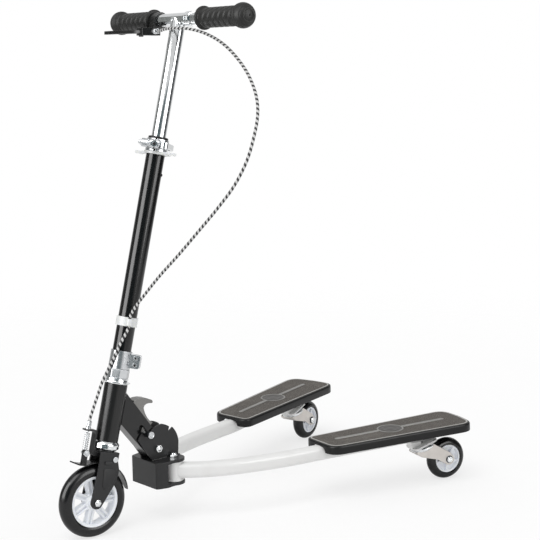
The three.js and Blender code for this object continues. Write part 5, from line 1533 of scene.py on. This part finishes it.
@dataclass
class Arm:
    """A swinging arm with its knuckle, in the scooter's frame."""

    side: Side
    width: float = 26.0
    height: float = 26.5
    corner: float = 8.5
    kingpin: tuple[float, float] = (-158.0, 23.2)
    knuckle_low: float = 70.8
    knuckle_high: float = 105.7
    knuckle_r: float = 15.0
    flange_r: float = 17.4
    skin: float = 5.0
    deck_half: float = 151.3
    plate_top: float = 8.0
    bends: tuple[tuple[float, float], ...] = (
        (-2, 1.6), (-18, 18), (-45, 38.5), (-90, 60.5), (-144, 78.5), (-200, 92.5),
    )

    def route(self) -> list[Vector]:
        """Return the arm's middle line from its knuckle to over the castor.

        Returns:
            The line's places.
        """
        middle = (self.knuckle_low + self.knuckle_high) / 2
        level = DATUM.deck_place[2] - self.skin - SEAT - self.height / 2
        x, y = self.kingpin
        spots = [Vector((x + ahead, y + out, middle)) for ahead, out in self.bends]
        spots += [DATUM.under_deck(along, level)
                  for along in (6 - self.deck_half, 34 - self.deck_half, -40, 20, DATUM.castor_along + 17)]
        pin = Vector((x, y, middle))
        return [spot for spot in route_of(spots, 12) if (spot - pin).length > 7]

    def build(self) -> None:
        """Sweep the arm, cut its rear to the castor plate and turn its knuckle."""
        form = Form()
        w, h = self.width / 2, self.height / 2
        form.sweep(rounded(-w, w, -h, h, self.corner, 8), self.route(), up=Vector((0, 0, 1)))
        slope = DATUM.scooter().inverted() @ DATUM.swivel(Side.LEFT)
        made = bmesh.ops.bisect_plane(form.mesh, geom=[*form.mesh.verts, *form.mesh.edges, *form.mesh.faces],
                                      plane_co=slope @ Vector((0, 0, self.plate_top + SEAT)),
                                      plane_no=slope.to_3x3() @ Vector((0, 0, 1)), clear_inner=True)
        bmesh.ops.edgeloop_fill(form.mesh, edges=[g for g in made["geom_cut"] if isinstance(g, BMEdge)])
        wide, slim = self.flange_r, self.knuckle_r
        form.spin([
            (5.4, self.knuckle_low),
            *about(0, self.knuckle_low, (wide - 0.5, 0), (wide, 0.5), (wide - 0.2, 1.3), (slim + 0.7, 2.2),
                   (slim, 3.2)),
            *about(0, self.knuckle_high, (slim, -3.2), (slim + 0.7, -2.2), (wide - 0.2, -1.3), (wide, -0.5),
                   (wide - 0.5, 0)),
            (5.4, self.knuckle_high),
        ], 64, at=(*self.kingpin, 0), ring=True)
        if self.side is Side.RIGHT:
            form.mirror()
        node = self.side.of("arm")
        form.piece(f"{node}_drawn", Mount(DATUM.scooter(), self.side.of("swing_arm")), WHITE_COAT, node)
        dressed(self.side.of("castor_plate"), WHITE_COAT, 0.5)


@dataclass
class Footboard:
    """A footboard in its own frame: X toward its front, Y outward and its top at zero."""

    side: Side
    length: float = 302.6
    width: float = 98.5
    taper: float = 5.0
    skew: float = 5.6
    corner: float = 28.0
    front_corner: float = 18.0
    bow: float = 4.0
    skin: float = 5.0
    skirt: float = 15.5
    pad_inset: float = 4.0
    proud: float = 0.6
    bar: float = 8.0
    bar_margin: float = 34.0
    badge_r: float = 25.0
    rib: float = 2.4
    rib_inner: float = 16.0
    rib_places: tuple[float, ...] = (-100, -56, 0, 56, 100)
    mouth: tuple[tuple[float, float], ...] = (
        (19.2, 0.0), (18.1, 2.8), (17.0, 5.5), (15.2, 7.7), (13.0, 9.2), (10.2, 9.6), (7.0, 9.6),
    )

    def outline(self, inset: float, steps: int = 9) -> list[tuple[float, float, float]]:
        """Return the footboard's outline from above, drawn in by an inset.

        Args:
            inset: Distance inward from its edge.
            steps: Chords round each corner.

        Returns:
            The corners, each with how far the arm's mouth lifts the skirt's foot there.
        """
        half, narrow, wide = self.length / 2, self.width / 2 - self.taper, self.width / 2 + self.taper
        corners = (
            (half + self.skew, -narrow, self.front_corner), (half - self.skew, narrow, self.corner),
            (-half, wide, self.corner), (-half - self.bow, 0.0, self.width), (-half, -wide, self.corner),
        )
        edges = []
        for (x, y, _), (next_x, next_y, _) in zip(corners, corners[1:] + corners[:1]):
            along = Vector((next_x - x, next_y - y)).normalized()
            edges.append((along, Vector((x - along.y * inset, y + along.x * inset))))
        points = []
        for i, (_, _, radius) in enumerate(corners):
            (before, foot), (after, start) = edges[i - 1], edges[i]
            apart = start - foot
            reach = (apart.x * after.y - apart.y * after.x) / (before.x * after.y - before.y * after.x)
            corner = foot + before * reach
            run = (radius - inset) * math.tan(before.angle(after) / 2)
            p0, p2 = corner - before * run, corner + after * run
            for t in (k / steps for k in range(steps + 1)):
                spot = p0 * (1 - t) ** 2 + corner * (2 * t * (1 - t)) + p2 * t ** 2
                points.append((spot.x, spot.y, 0.0))
            if i == 0:
                rows = [(-y, lift) for y, lift in self.mouth] + [*reversed(self.mouth)]
                points += [(start.x + after.x * (y - start.y) / after.y, y, lift) for y, lift in rows]
        return points

    def rings(self, *rows: tuple) -> list[list[Vector]]:
        """Return the outline as rings, each given by its inset, its height and whether the arm lifts it."""
        return [[Vector((x, y, z + (lift if foot else 0.0))) for x, y, lift in self.outline(inset)]
                for inset, z, *foot in rows]

    def close(self, form: Form, name: str, finish: Finish, node: str = "") -> None:
        """Close a form drawn for the left side as a piece of this side.

        Args:
            form: The form.
            name: The piece's name without its side.
            finish: Its finish.
            node: The node that it stands for without its side, if any.
        """
        if self.side is Side.RIGHT:
            form.mirror()
        mount = Mount(DATUM.deck(self.side), self.side.of("swing_arm"))
        form.piece(self.side.of(name), mount, finish, node and self.side.of(node))

    def tray(self) -> None:
        """Mould the tray: skirt, soft shoulder, recess, and the ribs beside the arm."""
        low, edge = -self.skirt, self.pad_inset - SEAT
        form = Form()
        form.stack(self.rings(
            (3.5, -self.skin), (3.4, low + 0.5, True), (3.0, low, True), (0.6, low, True),
            (0.1, low + 0.3, True), (0, low + 0.8, True), (0, -3.8), (0.1, -2.6), (0.45, -1.4), (1.0, -0.55),
            (1.7, -0.12), (2.4, 0), (edge - 0.4, 0), (edge, -0.4), (edge, -1.6),
        ))
        thick, inner, outer = self.rib / 2, self.rib_inner, self.width / 2 - self.taper
        for x in self.rib_places:
            for y0, y1 in ((-outer, -inner), (inner, outer)):
                rib = [(x - thick, y0), (x + thick, y0), (x + thick, y1), (x - thick, y1)]
                form.slab(rib, low + 4, 1 - self.skin)
        self.close(form, "deck_moulded", DECK, "deck")

    def pad(self) -> None:
        """Lay the non-slip sheet and the bright line round it."""
        top, inset = self.proud, self.pad_inset
        form = Form()
        form.stack(self.rings((inset, -1.3), (inset, top - 0.3), (inset + 0.25, top)))
        self.close(form, "deck_sheet", PAD, "deck_pad")
        form = Form()
        form.loop(self.rings((4.15, top - 0.3), (4.15, top + 0.12), (4.35, top + 0.2), (6.7, top + 0.2),
                             (6.9, top + 0.12), (6.9, top - 0.3)))
        self.close(form, "pad_border", LINE)

    def badge(self) -> None:
        """Raise the flat bars, the ring round the plain badge, and the badge's face."""
        top, r, half = self.proud, self.badge_r, self.bar / 2
        end = self.length / 2 - self.bar_margin
        form = Form()
        for x0, x1 in ((r - 0.8, end), (-end, 0.8 - r)):
            form.slab(rounded(x0, x1, -half, half, half - 0.1, 8), top - 0.3, top + 1)
        form.soften(0.35, 50, 2)
        rim = about(r, top, (-3, -0.3), (-0.4, -0.3), (0, 0.1), (0, 0.8), (-0.3, 1), (-2.7, 1), (-3, 0.8))
        form.spin(rim, 96, ring=True)
        self.close(form, "pad_bars", INLAY)
        form = Form()
        form.spin(about(0, top, (0, -0.3), (r - 3.05, -0.3), (r - 3.05, 0.25), (r - 3.6, 0.35), (15.4, 0.35),
                        (15.0, 0.6), (13.6, 0.6), (13.2, 0.35), (6.2, 0.35), (5.8, 0.55), (0, 0.65)), 96)
        self.close(form, "badge_face", BADGE)

    def build(self) -> None:
        """Build the footboard."""
        self.tray()
        self.pad()
        self.badge()


@dataclass
class Castor:
    """An inclined castor under a footboard."""

    side: Side
    width: float = 23.0
    rim_r: float = 26.4
    rim_half: float = 10.1
    boss_half: float = 12.4
    fork_gap: float = 26.0
    sheet: float = 2.2
    ribs: int = 5

    def swivel(self) -> Mount:
        """Return where a piece of the castor's fork belongs."""
        return Mount(DATUM.swivel(self.side), self.side.of("castor"))

    def wheel(self) -> Mount:
        """Return where a piece of the castor's wheel belongs."""
        return Mount(DATUM.swivel(self.side) @ DATUM.castor_offset(), self.side.of("castor_wheel"))

    def tyre(self) -> None:
        """Turn the castor's tyre."""
        half, inner = self.width / 2, self.rim_r + SEAT
        crown = arc(DATUM.castor_wheel_r - half, 0, half, -90, 90, 24)
        profile = mirrored([(inner + 0.8, half - 0.7), (inner, half - 1.4)], crown)
        turned(self.side.of("castor_tyre_moulded"), self.wheel(), TYRE, profile, self.side.of("castor_tyre"),
               96, Along.Y, smooth=50)

    def hub(self) -> None:
        """Turn the rim, web and boss, and set the ribs between them."""
        form = Form()
        rim, end = self.rim_r, self.boss_half
        half = about(rim, self.rim_half, (0, -0.4), (-0.5, 0), (-2.6, 0), (-3, -0.6))
        half += [(rim - 3.4, 4.2), (12, 3.0), (9, 3.5), (9, end - 0.8), (8.2, end), (3.9, end)]
        form.spin(mirrored(half), 96, Along.Y, ring=True)
        for k in range(self.ribs):
            new = form.slab(rounded(7.5, rim - 2.2, -2.4, 2.4, 0.8, 2), -7.6, 7.6, Along.Y)
            form.transform(DATUM.turn(360 * k / self.ribs, "Y"), new)
        form.soften(0.5, 55, 2)
        form.piece(self.side.of("castor_hub_ribbed"), self.wheel(), HUB, self.side.of("castor_hub"))

    def race(self) -> None:
        """Turn the bright raceway and bend the web that joins both legs in front."""
        bowl = [(14, -4.1), (18, -4.1), (21.4, -3.0), (22.7, -1.2), (22.7, 0.4), (21.9, 0.8), (21.9, 1.4),
                (22.6, 1.8), (22.5, 2.6), (21.2, 3.8), (18.2, 4.25), (14, 4.25)]
        turned(self.side.of("castor_race"), self.swivel(), CHROME, bowl)
        form, half = Form(), self.fork_gap / 2 + 0.4
        skin = [(20.6, -2.0), (20.9, -5.2), (13.4, -13.6), (-2.6, -23.6), (-3.6, -21.9), (12.0, -11.9),
                (17.6, -5.4), (17.8, -2.0)]
        form.slab(skin, -half, half)
        form.transform(DATUM.turn(90, "X"))
        form.soften(0.6, 30, 2)
        form.piece(self.side.of("castor_web"), self.swivel(), CASTOR_STEEL)

    def axle(self) -> None:
        """Turn the axle's ringed cap and its dark washers."""
        face = self.fork_gap / 2 + self.sheet + SEAT
        form = Form()
        form.spin([*about(0, -face, (0, -4), (5.2, -4), (5.8, -3.4), (5.8, 0), (3.5, 0)),
                   *about(0, face, (3.5, 0), (5.6, 0), (6.0, 0.4), (6.0, 2.2), (5.2, 3.1), (3.6, 3.2),
                          (3.3, 2.7), (2.3, 2.7), (2.0, 3.1), (0, 3.2))], 48, Along.Y)
        form.transform(DATUM.castor_offset())
        form.piece(self.side.of("castor_axle_turned"), self.swivel(), CHROME, self.side.of("castor_axle"), 30)
        form = Form()
        for side in Side:
            low, high = side.span(face - 0.25, face + 0.5)
            form.spin([(3.7, low), (7.3, low), (7.3, high), (3.7, high)], 48, Along.Y, ring=True)
        form.transform(DATUM.castor_offset())
        form.piece(self.side.of("castor_washers"), self.swivel(), DARK_STEEL)

    def build(self) -> None:
        """Build the castor."""
        self.tyre()
        self.hub()
        self.race()
        self.axle()
        dressed(self.side.of("castor_fork"), CASTOR_STEEL, 0.5)
        dressed(self.side.of("castor_kingbolt"), STEEL, 0.4)


def main() -> None:
    """Dress the scooter, sub-assembly by sub-assembly."""
    logging.basicConfig(level=logging.INFO, format="%(message)s")
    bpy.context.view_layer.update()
    assemblies = [Studio(), Brake(), Headset(), Column(), FrontWheel(), ForkAndFold()]
    for side in Side:
        assemblies += [Grip(side), Arm(side), Footboard(side), Castor(side)]
    for assembly in assemblies:
        assembly.build()
        log.info("%s is built", type(assembly).__name__)


if __name__ == "__main__":
    main()
